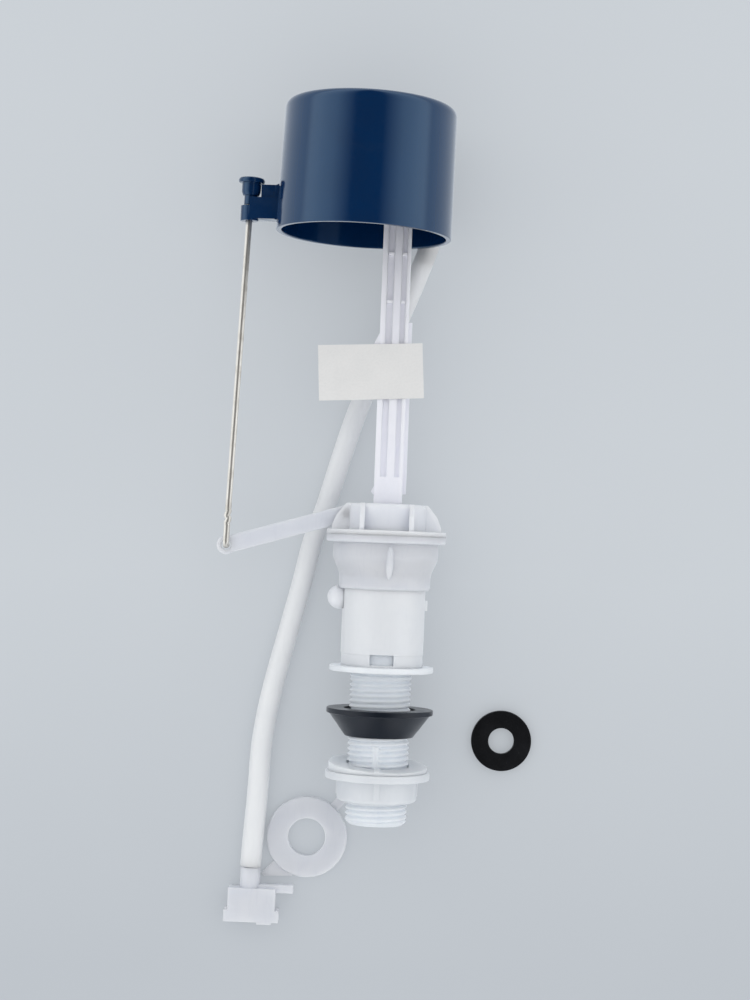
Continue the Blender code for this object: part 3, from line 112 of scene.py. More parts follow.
class Graph:
    """A small helper that adds nodes to a shader or geometry tree and links them."""

    def __init__(self, tree: bpy.types.NodeTree) -> None:
        """Wraps the tree to add to."""
        self.tree = tree

    def feed(self, node: bpy.types.Node, inputs: dict) -> None:
        """Sets or links a node's inputs.

        Args:
            node: The node.
            inputs: Values or output sockets by input name or index.
        """
        for key, value in inputs.items():
            if isinstance(value, bpy.types.NodeSocket):
                self.tree.links.new(value, node.inputs[key])
            else:
                node.inputs[key].default_value = value

    def add(self, kind: str, inputs: dict | None = None, **settings: object) -> bpy.types.Node:
        """Adds a node.

        Args:
            kind: The node's type name.
            inputs: Values or output sockets by input name or index.
            **settings: Properties of the node.

        Returns:
            The new node.
        """
        node = self.tree.nodes.new(kind)
        for name, value in settings.items():
            setattr(node, name, value)
        self.feed(node, inputs or {})
        return node

    def math(self, operation: str, *values: object) -> bpy.types.NodeSocket:
        """Returns the result of a Math node that takes the values, numbers or sockets."""
        return self.add("ShaderNodeMath", dict(enumerate(values)), operation=operation).outputs[0]

    def mix(self, amount: object, first: object, second: object) -> bpy.types.NodeSocket:
        """Returns a mixed colour, the first at amount 0 and the second at 1."""
        return self.add("ShaderNodeMix", {0: amount, 6: first, 7: second}, data_type="RGBA").outputs[2]

    def ramp(self, value: object, low: float, high: float, to_low: float = 0.0, to_high: float = 1.0):
        """Maps a value from one range to another, clamped.

        Args:
            value: The socket to map.
            low: Start of its range.
            high: End of its range.
            to_low: What the start becomes.
            to_high: What the end becomes.

        Returns:
            The mapped value's socket.
        """
        inputs = {"Value": value, "From Min": low, "From Max": high, "To Min": to_low, "To Max": to_high}
        return self.add("ShaderNodeMapRange", inputs).outputs[0]

    def place(self) -> bpy.types.NodeSocket:
        """Returns the place on the object, in metres."""
        return self.add("ShaderNodeTexCoord").outputs["Object"]

    def noise(self, place: object, scale: object, detail: float = 2.0, swirl: float = 0.0):
        """Adds a noise.

        Args:
            place: Where it is read.
            scale: Its scale, per metre.
            detail: Its octaves.
            swirl: Its distortion.

        Returns:
            Its value, from 0 to 1.
        """
        inputs = {"Vector": place, "Scale": scale, "Detail": detail, "Distortion": swirl}
        return self.add("ShaderNodeTexNoise", inputs).outputs["Fac"]

    def bump(self, height: object, distance: float, strength: float = 1.0) -> bpy.types.NodeSocket:
        """Returns the normal of a bumpy skin, from its height, its depth in metres and its strength."""
        inputs = {"Height": height, "Strength": strength, "Distance": distance}
        return self.add("ShaderNodeBump", inputs).outputs["Normal"]


def new_group(name: str, inputs: dict[str, object], outputs: Sequence[str]) -> tuple:
    """Makes a shader node group with named sockets, a colour for a Color and a number for all else.

    Args:
        name: The group's name.
        inputs: Default by name.
        outputs: Names of what it gives.

    Returns:
        The group, its graph, its input node's sockets and its output node.
    """
    group = bpy.data.node_groups.new(name, "ShaderNodeTree")
    for side, labels in (("INPUT", inputs), ("OUTPUT", outputs)):
        for label in labels:
            kind = "NodeSocketColor" if label.endswith("Color") else "NodeSocketFloat"
            socket = group.interface.new_socket(label, in_out=side, socket_type=kind)
            if side == "INPUT":
                socket.default_value = inputs[label]
    graph = Graph(group)
    return group, graph, graph.add("NodeGroupInput").outputs, graph.add("NodeGroupOutput")


def moulding_group() -> bpy.types.NodeTree:
    """Makes the group for moulded plastic: cloudy resin, faint flow lines and a fine skin.

    Returns:
        The node group, which gives Color, Roughness and Height.
    """
    inputs = {
        "Color": (0.8, 0.8, 0.8, 1),
        "Deep Color": (0.7, 0.7, 0.75, 1),
        "Roughness": 0.4,
        "Cloud Scale": 90.0,
        "Cloud Amount": 0.4,
        "Flow Amount": 0.25,
        "Grain Scale": 900.0,
    }
    group, g, given, sink = new_group("moulded_resin", inputs, ("Color", "Roughness", "Height"))
    place = g.place()
    cloud = g.noise(place, given["Cloud Scale"], 3.0, 0.8)
    cloud_mask = g.math("MULTIPLY", g.ramp(cloud, 0.36, 0.68), given["Cloud Amount"])
    stretched = g.add("ShaderNodeMapping", {"Vector": place, "Scale": (1.0, 0.16, 1.0)}).outputs[0]
    flow = g.noise(stretched, 420.0, 2.0, 1.6)
    flow_mask = g.math("MULTIPLY", g.ramp(flow, 0.55, 0.8), given["Flow Amount"])
    colour = g.mix(g.math("ADD", cloud_mask, flow_mask), given["Color"], given["Deep Color"])
    grain = g.noise(place, given["Grain Scale"])
    rough = g.math("ADD", given["Roughness"], g.ramp(grain, 0.3, 0.7, -0.035, 0.05))
    rough = g.math("ADD", rough, g.ramp(cloud, 0.3, 0.7, -0.03, 0.03))
    height = g.math("ADD", g.math("MULTIPLY", grain, 0.35), g.math("MULTIPLY", cloud, 0.65))
    g.feed(sink, {"Color": colour, "Roughness": rough, "Height": height})
    return group


def handling_group() -> bpy.types.NodeTree:
    """Makes the group for handling marks: hairline scuffs in two directions and specks of dust.

    Returns:
        The node group, which gives Scuffs and Dust masks.
    """
    inputs = {"Scuff Scale": 260.0, "Scuff Amount": 0.5, "Dust Scale": 700.0, "Dust Amount": 0.3}
    group, g, given, sink = new_group("handling_marks", inputs, ("Scuffs", "Dust"))
    place = g.place()
    lines = []
    for turn, stretch in ((0.5, (1.0, 0.03, 1.0)), (-0.9, (0.04, 1.0, 1.0))):
        inputs = {"Vector": place, "Rotation": (0.3 * turn, 0.2, turn), "Scale": stretch}
        lined = g.add("ShaderNodeMapping", inputs).outputs[0]
        lines.append(g.ramp(g.noise(lined, given["Scuff Scale"], 4.0), 0.63, 0.7))
    patch = g.noise(place, 70.0)
    scuffs = g.math("MULTIPLY", g.math("MAXIMUM", *lines), g.ramp(patch, 0.45, 0.65))
    scuffs = g.math("MULTIPLY", scuffs, given["Scuff Amount"])
    speck = g.add("ShaderNodeTexVoronoi", {"Vector": place, "Scale": given["Dust Scale"]}).outputs["Distance"]
    dust = g.math("MULTIPLY", g.ramp(speck, 0.16, 0.06), g.ramp(patch, 0.4, 0.62))
    g.feed(sink, {"Scuffs": scuffs, "Dust": g.math("MULTIPLY", dust, given["Dust Amount"])})
    return group


GROUPS = {"resin": moulding_group(), "marks": handling_group()}


# Finishes


def start_material(name: str) -> tuple[bpy.types.Material, Graph, bpy.types.Node]:
    """Makes a material with a bare Principled shader.

    Args:
        name: The material's name.

    Returns:
        The material, a graph on its tree and its shader node.
    """
    material = bpy.data.materials.new(name)
    material.use_nodes = True
    return material, Graph(material.node_tree), material.node_tree.nodes["Principled BSDF"]


def rgba(colour: Colour) -> tuple[float, float, float, float]:
    """Returns the colour with full alpha."""
    return (*colour, 1.0)


@dataclass(frozen=True)
class ResinFinish:
    """Moulded plastic.

    Args:
        name: The material's name.
        colour: Colour of thin or bright places.
        deep: Colour of thick or cloudy places.
        roughness: Mean roughness. A plastic that glows keeps it all over, as a varied one shows as specks.
        cloud_scale: Size of the clouds, per metre.
        cloud: Strength of the clouds.
        flow: Strength of the flow lines.
        bump: Height of the skin, in metres.
        scuff: Strength of the hairline scuffs.
        specular: Specular level.
        glow: Subsurface weight.
        depth: How far light travels inside, in metres.
        tint: Tint of the reflections.
    """

    name: str
    colour: Colour
    deep: Colour
    roughness: float = 0.38
    cloud_scale: float = 90.0
    cloud: float = 0.4
    flow: float = 0.25
    bump: float = 0.00004
    scuff: float = 0.0
    specular: float = 0.5
    glow: float = 0.0
    depth: float = 0.003
    tint: Colour = (1.0, 1.0, 1.0)

    def make(self) -> bpy.types.Material:
        """Returns the material."""
        material, g, shader = start_material(self.name)
        inputs = {
            "Color": rgba(self.colour),
            "Deep Color": rgba(self.deep),
            "Roughness": self.roughness,
            "Cloud Scale": self.cloud_scale,
            "Cloud Amount": self.cloud,
            "Flow Amount": self.flow,
        }
        resin = g.add("ShaderNodeGroup", node_tree=GROUPS["resin"])
        marks = g.add("ShaderNodeGroup", node_tree=GROUPS["marks"])
        g.feed(resin, inputs)
        g.feed(marks, {"Scuff Amount": self.scuff})
        scuffs = marks.outputs["Scuffs"]
        rough = g.math("ADD", resin.outputs["Roughness"], g.math("MULTIPLY", scuffs, 0.22))
        height = g.math("SUBTRACT", resin.outputs["Height"], g.math("MULTIPLY", scuffs, 0.5))
        look = {
            "Base Color": resin.outputs["Color"],
            "Roughness": self.roughness if self.glow > 0 else rough,
            "Normal": g.bump(height, self.bump),
            "Specular IOR Level": self.specular,
            "Specular Tint": rgba(self.tint),
            "Subsurface Weight": self.glow,
            "Subsurface Scale": self.depth,
            "Subsurface Radius": (1.0, 1.0, 1.0),
        }
        g.feed(shader, look)
        return material


@dataclass(frozen=True)
class RubberFinish:
    """Matte moulded rubber with a faint bloom.

    Args:
        name: The material's name.
        colour: The rubber's own colour.
        bloom: Colour of the pale bloom.
        roughness: Mean roughness.
        specular: Specular level.
        dust: Colour of the dust.
        scuff: Colour of the scuffs.
    """

    name: str
    colour: Colour
    bloom: Colour
    roughness: float
    specular: float
    dust: Colour = (0.16, 0.16, 0.165)
    scuff: Colour = (0.1, 0.1, 0.105)

    def make(self) -> bpy.types.Material:
        """Returns the material."""
        material, g, shader = start_material(self.name)
        place = g.place()
        patch = g.noise(place, 140.0, 5.0)
        grain = g.noise(place, 1900.0, 3.0)
        marks = g.add("ShaderNodeGroup", node_tree=GROUPS["marks"])
        g.feed(marks, {"Scuff Amount": 0.7, "Dust Amount": 0.25})
        bloom = g.math("ADD", g.ramp(patch, 0.4, 0.75, 0.0, 0.45), g.ramp(grain, 0.35, 0.7, 0.0, 0.2))
        colour = g.mix(bloom, rgba(self.colour), rgba(self.bloom))
        colour = g.mix(g.math("MULTIPLY", marks.outputs["Dust"], 0.4), colour, rgba(self.dust))
        look = {
            "Base Color": g.mix(g.math("MULTIPLY", marks.outputs["Scuffs"], 0.12), colour, rgba(self.scuff)),
            "Roughness": g.math("ADD", g.ramp(patch, 0.3, 0.7, -0.06, 0.08), self.roughness),
            "Normal": g.bump(grain, 0.00006),
            "Specular IOR Level": self.specular,
        }
        g.feed(shader, look)
        return material


@dataclass(frozen=True)
class WireFinish:
    """Drawn steel wire, with fine lines along its length and dull patches.

    Args:
        name: The material's name.
        bright: Colour of the clean metal.
        dull: Colour of the dull patches.
        roughness: Mean roughness.
    """

    name: str
    bright: Colour = (0.70, 0.68, 0.64)
    dull: Colour = (0.3, 0.27, 0.22)
    roughness: float = 0.42

    def make(self) -> bpy.types.Material:
        """Returns the material."""
        material, g, shader = start_material(self.name)
        place = g.place()
        along = g.add("ShaderNodeMapping", {"Vector": place, "Scale": (1.0, 0.02, 1.0)}).outputs[0]
        lines = g.noise(along, 5200.0)
        dull = g.ramp(g.noise(place, 240.0, 5.0), 0.5, 0.72)
        rough = g.math("ADD", g.ramp(dull, 0.0, 1.0, 0.0, 0.06), g.ramp(lines, 0.3, 0.7, -0.03, 0.05))
        look = {
            "Base Color": g.mix(g.math("MULTIPLY", dull, 0.3), rgba(self.bright), rgba(self.dull)),
            "Roughness": g.math("ADD", rough, self.roughness),
            "Normal": g.bump(lines, 0.00002, 0.5),
            "Metallic": 1.0,
        }
        g.feed(shader, look)
        return material


@dataclass(frozen=True)
class PaperFinish:
    """Coated label paper, left bare.

    Args:
        name: The material's name.
        colour: Colour of the sheet.
        fibre: Colour of its fibres.
    """

    name: str
    colour: Colour = (0.765, 0.76, 0.755)
    fibre: Colour = (0.68, 0.68, 0.68)

    def make(self) -> bpy.types.Material:
        """Returns the material."""
        material, g, shader = start_material(self.name)
        place = g.place()
        fibre = g.noise(place, 1300.0, 6.0)
        patch = g.noise(place, 110.0)
        amount = g.math("ADD", g.ramp(fibre, 0.4, 0.75, 0.0, 0.35), g.ramp(patch, 0.35, 0.7, 0.0, 0.25))
        height = g.math("ADD", g.math("MULTIPLY", patch, 2.0), fibre)
        look = {
            "Base Color": g.mix(amount, rgba(self.colour), rgba(self.fibre)),
            "Roughness": g.ramp(fibre, 0.3, 0.7, 0.5, 0.62),
            "Normal": g.bump(height, 0.00005, 0.6),
        }
        g.feed(shader, look)
        return material


WHITE = ResinFinish(
    "white_resin", (0.79, 0.81, 0.845), (0.72, 0.745, 0.79), cloud=0.35, scuff=0.1, glow=0.6, depth=0.0035
)
NUT_WHITE = ResinFinish("nut_resin", (0.71, 0.735, 0.77), (0.65, 0.675, 0.715), cloud=0.35, scuff=0.1, glow=0.5)
# The post's lavender tint is its own colour. That it is lighter than the other white plastics is painted light,
# making up for the shade that the cup casts on the post.
POST_LAVENDER_PAINTED_LIGHTER = ResinFinish(
    "post_resin_painted_lighter", (0.86, 0.865, 0.94), (0.80, 0.805, 0.89), 0.37, cloud=0.3, flow=0.4, glow=0.5
)
MILKY = ResinFinish(
    "milky_resin", (0.78, 0.795, 0.835), (0.71, 0.73, 0.785), 0.38, 60.0, 0.55, 0.35, glow=0.8, depth=0.005
)
MISTY = ResinFinish(
    "misty_resin", (0.68, 0.695, 0.74), (0.60, 0.62, 0.68), 0.38, 60.0, 0.6, 0.35, glow=0.8, depth=0.005
)
THREAD_WHITE = ResinFinish(
    "thread_resin", (0.79, 0.825, 0.87), (0.70, 0.745, 0.81), 0.37, glow=0.7, depth=0.004
)
TUBE = ResinFinish(
    "tube_resin", (0.79, 0.80, 0.815), (0.72, 0.735, 0.76), 0.42, 40.0, 0.5, 0.3, glow=0.9, depth=0.010
)
NAVY = ResinFinish(
    "navy_resin",
    (0.0003, 0.018, 0.072),
    (0.0002, 0.014, 0.060),
    roughness=0.13,
    cloud_scale=45.0,
    cloud=0.5,
    flow=0.2,
    bump=0.000012,
    scuff=0.35,
    specular=0.8,
    tint=(0.5, 0.76, 1.0),
)
GREY = ResinFinish("grey_resin", (0.42, 0.43, 0.45), (0.34, 0.35, 0.38), 0.45, scuff=0.4)
RUBBER = RubberFinish("black_rubber_satin", (0.002, 0.0055, 0.013), (0.008, 0.013, 0.024), 0.36, 0.32)
DARK_RUBBER = RubberFinish("black_rubber_matte", (0.003, 0.0035, 0.005), (0.010, 0.011, 0.014), 0.58, 0.15)
STEEL = WireFinish("drawn_steel")
PAPER = PaperFinish("label_paper")


Finish = ResinFinish | RubberFinish | WireFinish | PaperFinish


class Palette:
    """Makes each finish's material once."""

    def __init__(self) -> None:
        """Starts with no materials."""
        self.made: dict[str, bpy.types.Material] = {}

    def get(self, finish: Finish) -> bpy.types.Material:
        """Returns the finish's material, made at the first call."""
        if finish.name not in self.made:
            self.made[finish.name] = finish.make()
        return self.made[finish.name]


PALETTE = Palette()


# Mesh making, in millimetres until a piece is placed


def shift(x: float, y: float, z: float) -> Matrix:
    """Returns a move."""
    return Matrix.Translation((x, y, z))


def spin(angle: float, axis: str) -> Matrix:
    """Returns a turn about an axis, by an angle in degrees."""
    return Matrix.Rotation(math.radians(angle), 4, axis)


def link(name: str, mesh: bpy.types.Mesh) -> bpy.types.Object:
    """Links a mesh as an object at the origin and returns the object."""
    obj = bpy.data.objects.new(name, mesh)
    bpy.context.scene.collection.objects.link(obj)
    return obj


def mesh_of(name: str, build: Builder) -> bpy.types.Mesh:
    """Runs a builder on an empty bmesh.

    Args:
        name: The mesh's name.
        build: What fills the bmesh.

    Returns:
        The mesh, merged and with its faces outward.
    """
    bm = bmesh.new()
    build(bm)
    bmesh.ops.remove_doubles(bm, verts=bm.verts, dist=0.0005)
    bmesh.ops.recalc_face_normals(bm, faces=bm.faces)
    mesh = bpy.data.meshes.new(name)
    bm.to_mesh(mesh)
    bm.free()
    return mesh


def rounded(corners: Sequence[Corner], steps: int = 5, closed: bool = True) -> Profile:
    """Rounds the corners of an outline.

    Args:
        corners: Points as (u, v) or (u, v, radius of the rounding).
        steps: Segments in each rounding.
        closed: Whether the outline closes on itself.

    Returns:
        The rounded outline's points.
    """
    points: Profile = []
    count = len(corners)
    for i, corner in enumerate(corners):
        here = Vector(corner[:2])
        radius = corner[2] if len(corner) > 2 else 0.0
        if radius <= 0 or (not closed and i in (0, count - 1)):
            points.append((here.x, here.y))
            continue
        to_last = Vector(corners[i - 1][:2]) - here
        to_next = Vector(corners[(i + 1) % count][:2]) - here
        angle = to_last.angle(to_next)
        if angle > math.radians(178):
            points.append((here.x, here.y))
            continue
        cut = min(radius / math.tan(angle / 2), 0.48 * to_last.length, 0.48 * to_next.length)
        start = here + cut * to_last.normalized()
        end = here + cut * to_next.normalized()
        for k in range(steps + 1):
            t = k / steps
            point = (1 - t) ** 2 * start + 2 * t * (1 - t) * here + t**2 * end
            points.append((point.x, point.y))
    return points


def turned(corners: Sequence[Corner], segments: int = 96, steps: int = 5, fine: float = 0.0) -> Builder:
    """Makes a builder that turns a profile of (radius, height) about z.

    Args:
        corners: The profile's corners, closed unless both its ends lie on the axis.
        segments: Steps in the full turn.
        steps: Segments in each rounding.
        fine: Longest step along the profile, or 0 for no limit.

    Returns:
        The builder.
    """
    closed = corners[0][0] > 0 or corners[-1][0] > 0
    profile = rounded(corners, steps, closed)
    if fine > 0:
        dense: Profile = []
        ends = profile[1:] + ([profile[0]] if closed else [])
        for (r, z), (next_r, next_z) in zip(profile, ends):
            count = max(1, math.ceil(abs(next_z - z) / fine))
            dense += [(r + (next_r - r) * k / count, z + (next_z - z) * k / count) for k in range(count)]
        profile = dense if closed else dense + [profile[-1]]

    def build(bm: bmesh.types.BMesh) -> list:
        """Adds the rings and the faces between them."""
        rings = []
        for r, z in profile:
            if r < 0.0001:
                rings.append([bm.verts.new((0.0, 0.0, z))] * segments)
                continue
            turns = [2 * math.pi * k / segments for k in range(segments)]
            rings.append([bm.verts.new((r * math.cos(a), r * math.sin(a), z)) for a in turns])
        pairs = list(zip(rings, rings[1:])) + ([(rings[-1], rings[0])] if closed else [])
        for first, second in pairs:
            for k in range(segments):
                n = (k + 1) % segments
                around = list(dict.fromkeys((first[k], first[n], second[n], second[k])))
                if len(around) > 2:
                    bm.faces.new(around)
        return list(dict.fromkeys(vertex for ring in rings for vertex in ring))

    return build


def block(low: Point, high: Point) -> Builder:
    """Makes a builder of a box between two corners.

    Args:
        low: One corner.
        high: The opposite corner.

    Returns:
        The builder.
    """

    def build(bm: bmesh.types.BMesh) -> list:
        """Adds the box."""
        made = bmesh.ops.create_cube(bm, size=1.0)["verts"]
        bmesh.ops.scale(bm, vec=[abs(b - a) for a, b in zip(low, high)], verts=made)
        bmesh.ops.translate(bm, vec=[(a + b) / 2 for a, b in zip(low, high)], verts=made)
        return made

    return build


def slab(outline: Sequence[tuple[float, float]], thickness: float) -> Builder:
    """Makes a builder of a flat shape drawn in x and z, with its thickness along y about y = 0.

    Args:
        outline: The outline's points.
        thickness: Its thickness.

    Returns:
        The builder.
    """

    def build(bm: bmesh.types.BMesh) -> list:
        """Adds the two faces and the rim."""
        front = [bm.verts.new((x, -thickness / 2, z)) for x, z in outline]
        back = [bm.verts.new((x, thickness / 2, z)) for x, z in outline]
        bm.faces.new(front)
        bm.faces.new(list(reversed(back)))
        for k in range(len(outline)):
            n = (k + 1) % len(outline)
            bm.faces.new((front[n], front[k], back[k], back[n]))
        return front + back

    return build


def bar(start: Sequence[float], end: Sequence[float], radius: float, far: float | None = None) -> Builder:
    """Makes a builder of a capped round bar.

    Args:
        start: Centre of one end.
        end: Centre of the other.
        radius: Its radius at the start.
        far: Its radius at the end, the same when left out.

    Returns:
        The builder.
    """

    def build(bm: bmesh.types.BMesh) -> list:
        """Adds the bar."""
        reach = Vector(end) - Vector(start)
        made = bmesh.ops.create_cone(
            bm,
            cap_ends=True,
            segments=48,
            radius1=radius,
            radius2=radius if far is None else far,
            depth=reach.length,
        )["verts"]
        turn = Vector((0, 0, 1)).rotation_difference(reach.normalized()).to_matrix()
        bmesh.ops.rotate(bm, verts=made, cent=(0, 0, 0), matrix=turn)
        bmesh.ops.translate(bm, verts=made, vec=Vector(start) + reach / 2)
        return made

    return build


def ball(centre: Sequence[float], radius: float) -> Builder:
    """Makes a builder of a ball.

    Args:
        centre: Its centre.
        radius: Its radius.

    Returns:
        The builder.
    """

    def build(bm: bmesh.types.BMesh) -> list:
        """Adds the ball."""
        made = bmesh.ops.create_uvsphere(bm, u_segments=48, v_segments=24, radius=radius)["verts"]
        bmesh.ops.translate(bm, verts=made, vec=centre)
        return made

    return build


def moved(build: Builder, matrix: Matrix) -> Builder:
    """Makes a builder that adds another's shape and moves it.

    Args:
        build: The other builder.
        matrix: Where its shape goes.

    Returns:
        The builder.
    """

    def build_moved(bm: bmesh.types.BMesh) -> list:
        """Adds and moves the shape."""
        made = build(bm)
        bmesh.ops.transform(bm, matrix=matrix, verts=made)
        return made

    return build_moved


def mesh_copy(mesh: bpy.types.Mesh) -> Builder:
    """Makes a builder that adds a mesh's shape."""

    def build(bm: bmesh.types.BMesh) -> list:
        """Adds the mesh."""
        bm.from_mesh(mesh)
        return list(bm.verts)

    return build


def arc_points(centre: tuple[float, float], radius: float, start: float, end: float, count: int) -> Profile:
    """Returns points on an arc.

    Args:
        centre: Its centre.
        radius: Its radius.
        start: First angle, in degrees.
        end: Last angle, in degrees.
        count: Steps between them.

    Returns:
        The points.
    """
    angles = [math.radians(start + (end - start) * i / count) for i in range(count + 1)]
    return [(centre[0] + radius * math.cos(a), centre[1] + radius * math.sin(a)) for a in angles]


def smooth_path(points: Sequence[Vector], per_span: int) -> list[Vector]:
    """Passes a smooth curve through points.

    Args:
        points: The points to pass through.
        per_span: New points for each span.

    Returns:
        The curve's points.
    """
    ends = [2 * points[0] - points[1], *points, 2 * points[-1] - points[-2]]
    made = []
    for a, b, c, d in zip(ends, ends[1:], ends[2:], ends[3:]):
        for i in range(per_span):
            t = i / per_span
            bend = (2 * a - 5 * b + 4 * c - d) * t**2 + (3 * b - a - 3 * c + d) * t**3
            made.append(0.5 * (2 * b + (c - a) * t + bend))
    made.append(points[-1].copy())
    return made


def hose(
    points: Sequence[Vector], radii: Sequence[float], sides: int, bore: float = 0.0, depth: int = 0
) -> Builder:
    """Makes a builder of a round tube along a path.

    Args:
        points: The path.
        radii: The radius at each point.
        sides: Sides of the tube.
        bore: Radius of the open bore at the far end, or 0 for a solid end.
        depth: How many points back the bore reaches.

    Returns:
        The builder.
    """

    def build(bm: bmesh.types.BMesh) -> list:
        """Adds the rings and caps."""
        count = len(points)
        ahead = (points[1] - points[0]).normalized()
        side = ahead.orthogonal().normalized()
        frames = []
        for i in range(count):
            new_ahead = (points[min(i + 1, count - 1)] - points[max(i - 1, 0)]).normalized()
            side = (ahead.rotation_difference(new_ahead) @ side).normalized()
            ahead = new_ahead
            frames.append((points[i], side, ahead.cross(side)))
        rounds = list(zip(frames, radii))
        if bore > 0:
            rounds += [(frame, bore) for frame in reversed(frames[-depth:])]
        rings = []
        for (centre, across, up), radius in rounds:
            ring = []
            for k in range(sides):
                angle = 2 * math.pi * k / sides
                offset = math.cos(angle) * across + math.sin(angle) * up
                ring.append(bm.verts.new(centre + radius * offset))
            rings.append(ring)
        for first, second in zip(rings, rings[1:]):
            for k in range(sides):
                n = (k + 1) % sides
                bm.faces.new((first[k], first[n], second[n], second[k]))
        bm.faces.new(rings[0])
        bm.faces.new(rings[-1])
        return [vertex for ring in rings for vertex in ring]

    return build


class Shape:
    """A piece under construction, in millimetres."""

    def __init__(self, name: str, build: Builder) -> None:
        """Builds the first form.

        Args:
            name: The piece's name.
            build: What fills the bmesh.
        """
        self.obj = link(name, mesh_of(name, build))

    def freeze(self) -> "Shape":
        """Applies the modifiers and returns this shape."""
        graph = bpy.context.evaluated_depsgraph_get()
        made = bpy.data.meshes.new_from_object(self.obj.evaluated_get(graph))
        old = self.obj.data
        self.obj.modifiers.clear()
        self.obj.data = made
        bpy.data.meshes.remove(old)
        return self

    def combine(self, operation: str, tools: Iterable[Builder]) -> "Shape":
        """Applies exact Booleans.

        Args:
            operation: UNION or DIFFERENCE.
            tools: What fills each tool's bmesh.

        Returns:
            This shape.
        """
        for build in tools:
            tool = link("tool", mesh_of("tool", build))
            change = self.obj.modifiers.new("combine", "BOOLEAN")
            change.operation = operation
            change.solver = "EXACT"
            change.object = tool
            self.freeze()
            bpy.data.objects.remove(tool)
        return self

    def join(self, *tools: Builder) -> "Shape":
        """Joins each tool as one body and returns this shape."""
        return self.combine("UNION", tools)

    def cut(self, *tools: Builder) -> "Shape":
        """Cuts each tool away and returns this shape."""
        return self.combine("DIFFERENCE", tools)

    def soften(self, width: float, angle: float = 32.0, segments: int = 2) -> "Shape":
        """Rounds the edges.

        Args:
            width: Width of the rounding.
            angle: Least angle of an edge that is rounded, in degrees.
            segments: Segments of the rounding.

        Returns:
            This shape.
        """
        bm = bmesh.new()
        bm.from_mesh(self.obj.data)
        bmesh.ops.remove_doubles(bm, verts=bm.verts, dist=0.002)
        bmesh.ops.dissolve_limit(bm, angle_limit=math.radians(0.4), verts=bm.verts, edges=bm.edges)
        bm.to_mesh(self.obj.data)
        bm.free()
        edge = self.obj.modifiers.new("edge", "BEVEL")
        edge.width = width
        edge.segments = segments
        edge.limit_method = "ANGLE"
        edge.angle_limit = math.radians(angle)
        return self.freeze()

    def done(
        self,
        finish: Finish,
        body: Body,
        slot: Slot,
        replaces: Iterable[str] = (),
        place: Matrix | None = None,
        sharp: float = 38.0,
    ) -> bpy.types.Object:
        """Moves the mesh to its place in the frame, shades it, and sets it on its body.

        Args:
            finish: Its finish.
            body: The body it rides on.
            slot: The record's slot for it; not used.
            replaces: Frame nodes that it stands for.
            place: Where it goes, in millimetres, before the valve is laid down.
            sharp: Least angle of an edge that stays sharp, in degrees.

        Returns:
            The piece.
        """
        mesh = self.obj.data
        mesh.transform(LAID if place is None else LAID @ place)
        mesh.materials.clear()
        mesh.materials.append(PALETTE.get(finish))
        mesh.shade_smooth()
        mesh.set_sharp_from_angle(angle=math.radians(sharp))
        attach(self.obj, body.value)
        nodes = tuple(replaces)
        if nodes:
            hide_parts(*nodes)
        LOG.info("%s: %d faces on %s", self.obj.name, len(mesh.polygons), body.value)
        return self.obj


def axis_place() -> Matrix:
    """Returns what lays the valve's own frame, in millimetres, in the row frame, read from the shank's box."""
    low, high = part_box("shank_body")
    middle = (low + high) / 2
    turn = Matrix(((1, 0, 0, 0), (0, 0, 1, 0), (0, -1, 0, 0), (0, 0, 0, 1)))
    return shift(middle.x, low.y, middle.z) @ turn @ Matrix.Scale(MM, 4)


LAID = axis_place()
LAID_BACK = LAID.inverted()


# Geometry node trees


class GeometryTree:
    """A geometry node tree with named inputs, run on a mesh and turned into a plain mesh."""

    def __init__(self, name: str, inputs: dict[str, tuple[str, object]]) -> None:
        """Makes the tree's sockets.

        Args:
            name: The tree's name.
            inputs: Socket kind and default by name.
        """
        self.tree = bpy.data.node_groups.new(name, "GeometryNodeTree")
        face = self.tree.interface
        face.new_socket("Geometry", in_out="INPUT", socket_type="NodeSocketGeometry")
        self.ids: dict[str, str] = {}
        for label, (kind, default) in {**inputs, "Material": ("NodeSocketMaterial", None)}.items():
            socket = face.new_socket(label, in_out="INPUT", socket_type=kind)
            if default is not None:
                socket.default_value = default
            self.ids[label] = socket.identifier
        face.new_socket("Geometry", in_out="OUTPUT", socket_type="NodeSocketGeometry")
        self.graph = Graph(self.tree)
        self.given = self.graph.add("NodeGroupInput").outputs
        self.sink = self.graph.add("NodeGroupOutput")

    def end(self, geometry: bpy.types.NodeSocket) -> None:
        """Realises the instances, sets the material and closes the tree.

        Args:
            geometry: The geometry to put out.
        """
        real = self.graph.add("GeometryNodeRealizeInstances", {"Geometry": geometry}).outputs[0]
        inputs = {"Geometry": real, "Material": self.given["Material"]}
        dressed = self.graph.add("GeometryNodeSetMaterial", inputs).outputs[0]
        self.tree.links.new(dressed, self.sink.inputs["Geometry"])

    def run(self, build: Builder, values: dict[str, object], finish: Finish) -> bpy.types.Mesh:
        """Runs the tree.

        Args:
            build: Builder of the mesh that the tree works on.
            values: Its inputs by name.
            finish: The finish that the tree sets.

        Returns:
            The plain mesh.
        """
        obj = link("source", mesh_of("source", build))
        change = obj.modifiers.new("tree", "NODES")
        change.node_group = self.tree
        for label, value in {**values, "Material": PALETTE.get(finish)}.items():
            change[self.ids[label]] = value
        obj.update_tag()
        bpy.context.view_layer.update()
        graph = bpy.context.evaluated_depsgraph_get()
        made = bpy.data.meshes.new_from_object(obj.evaluated_get(graph))
        bpy.data.objects.remove(obj)
        return made


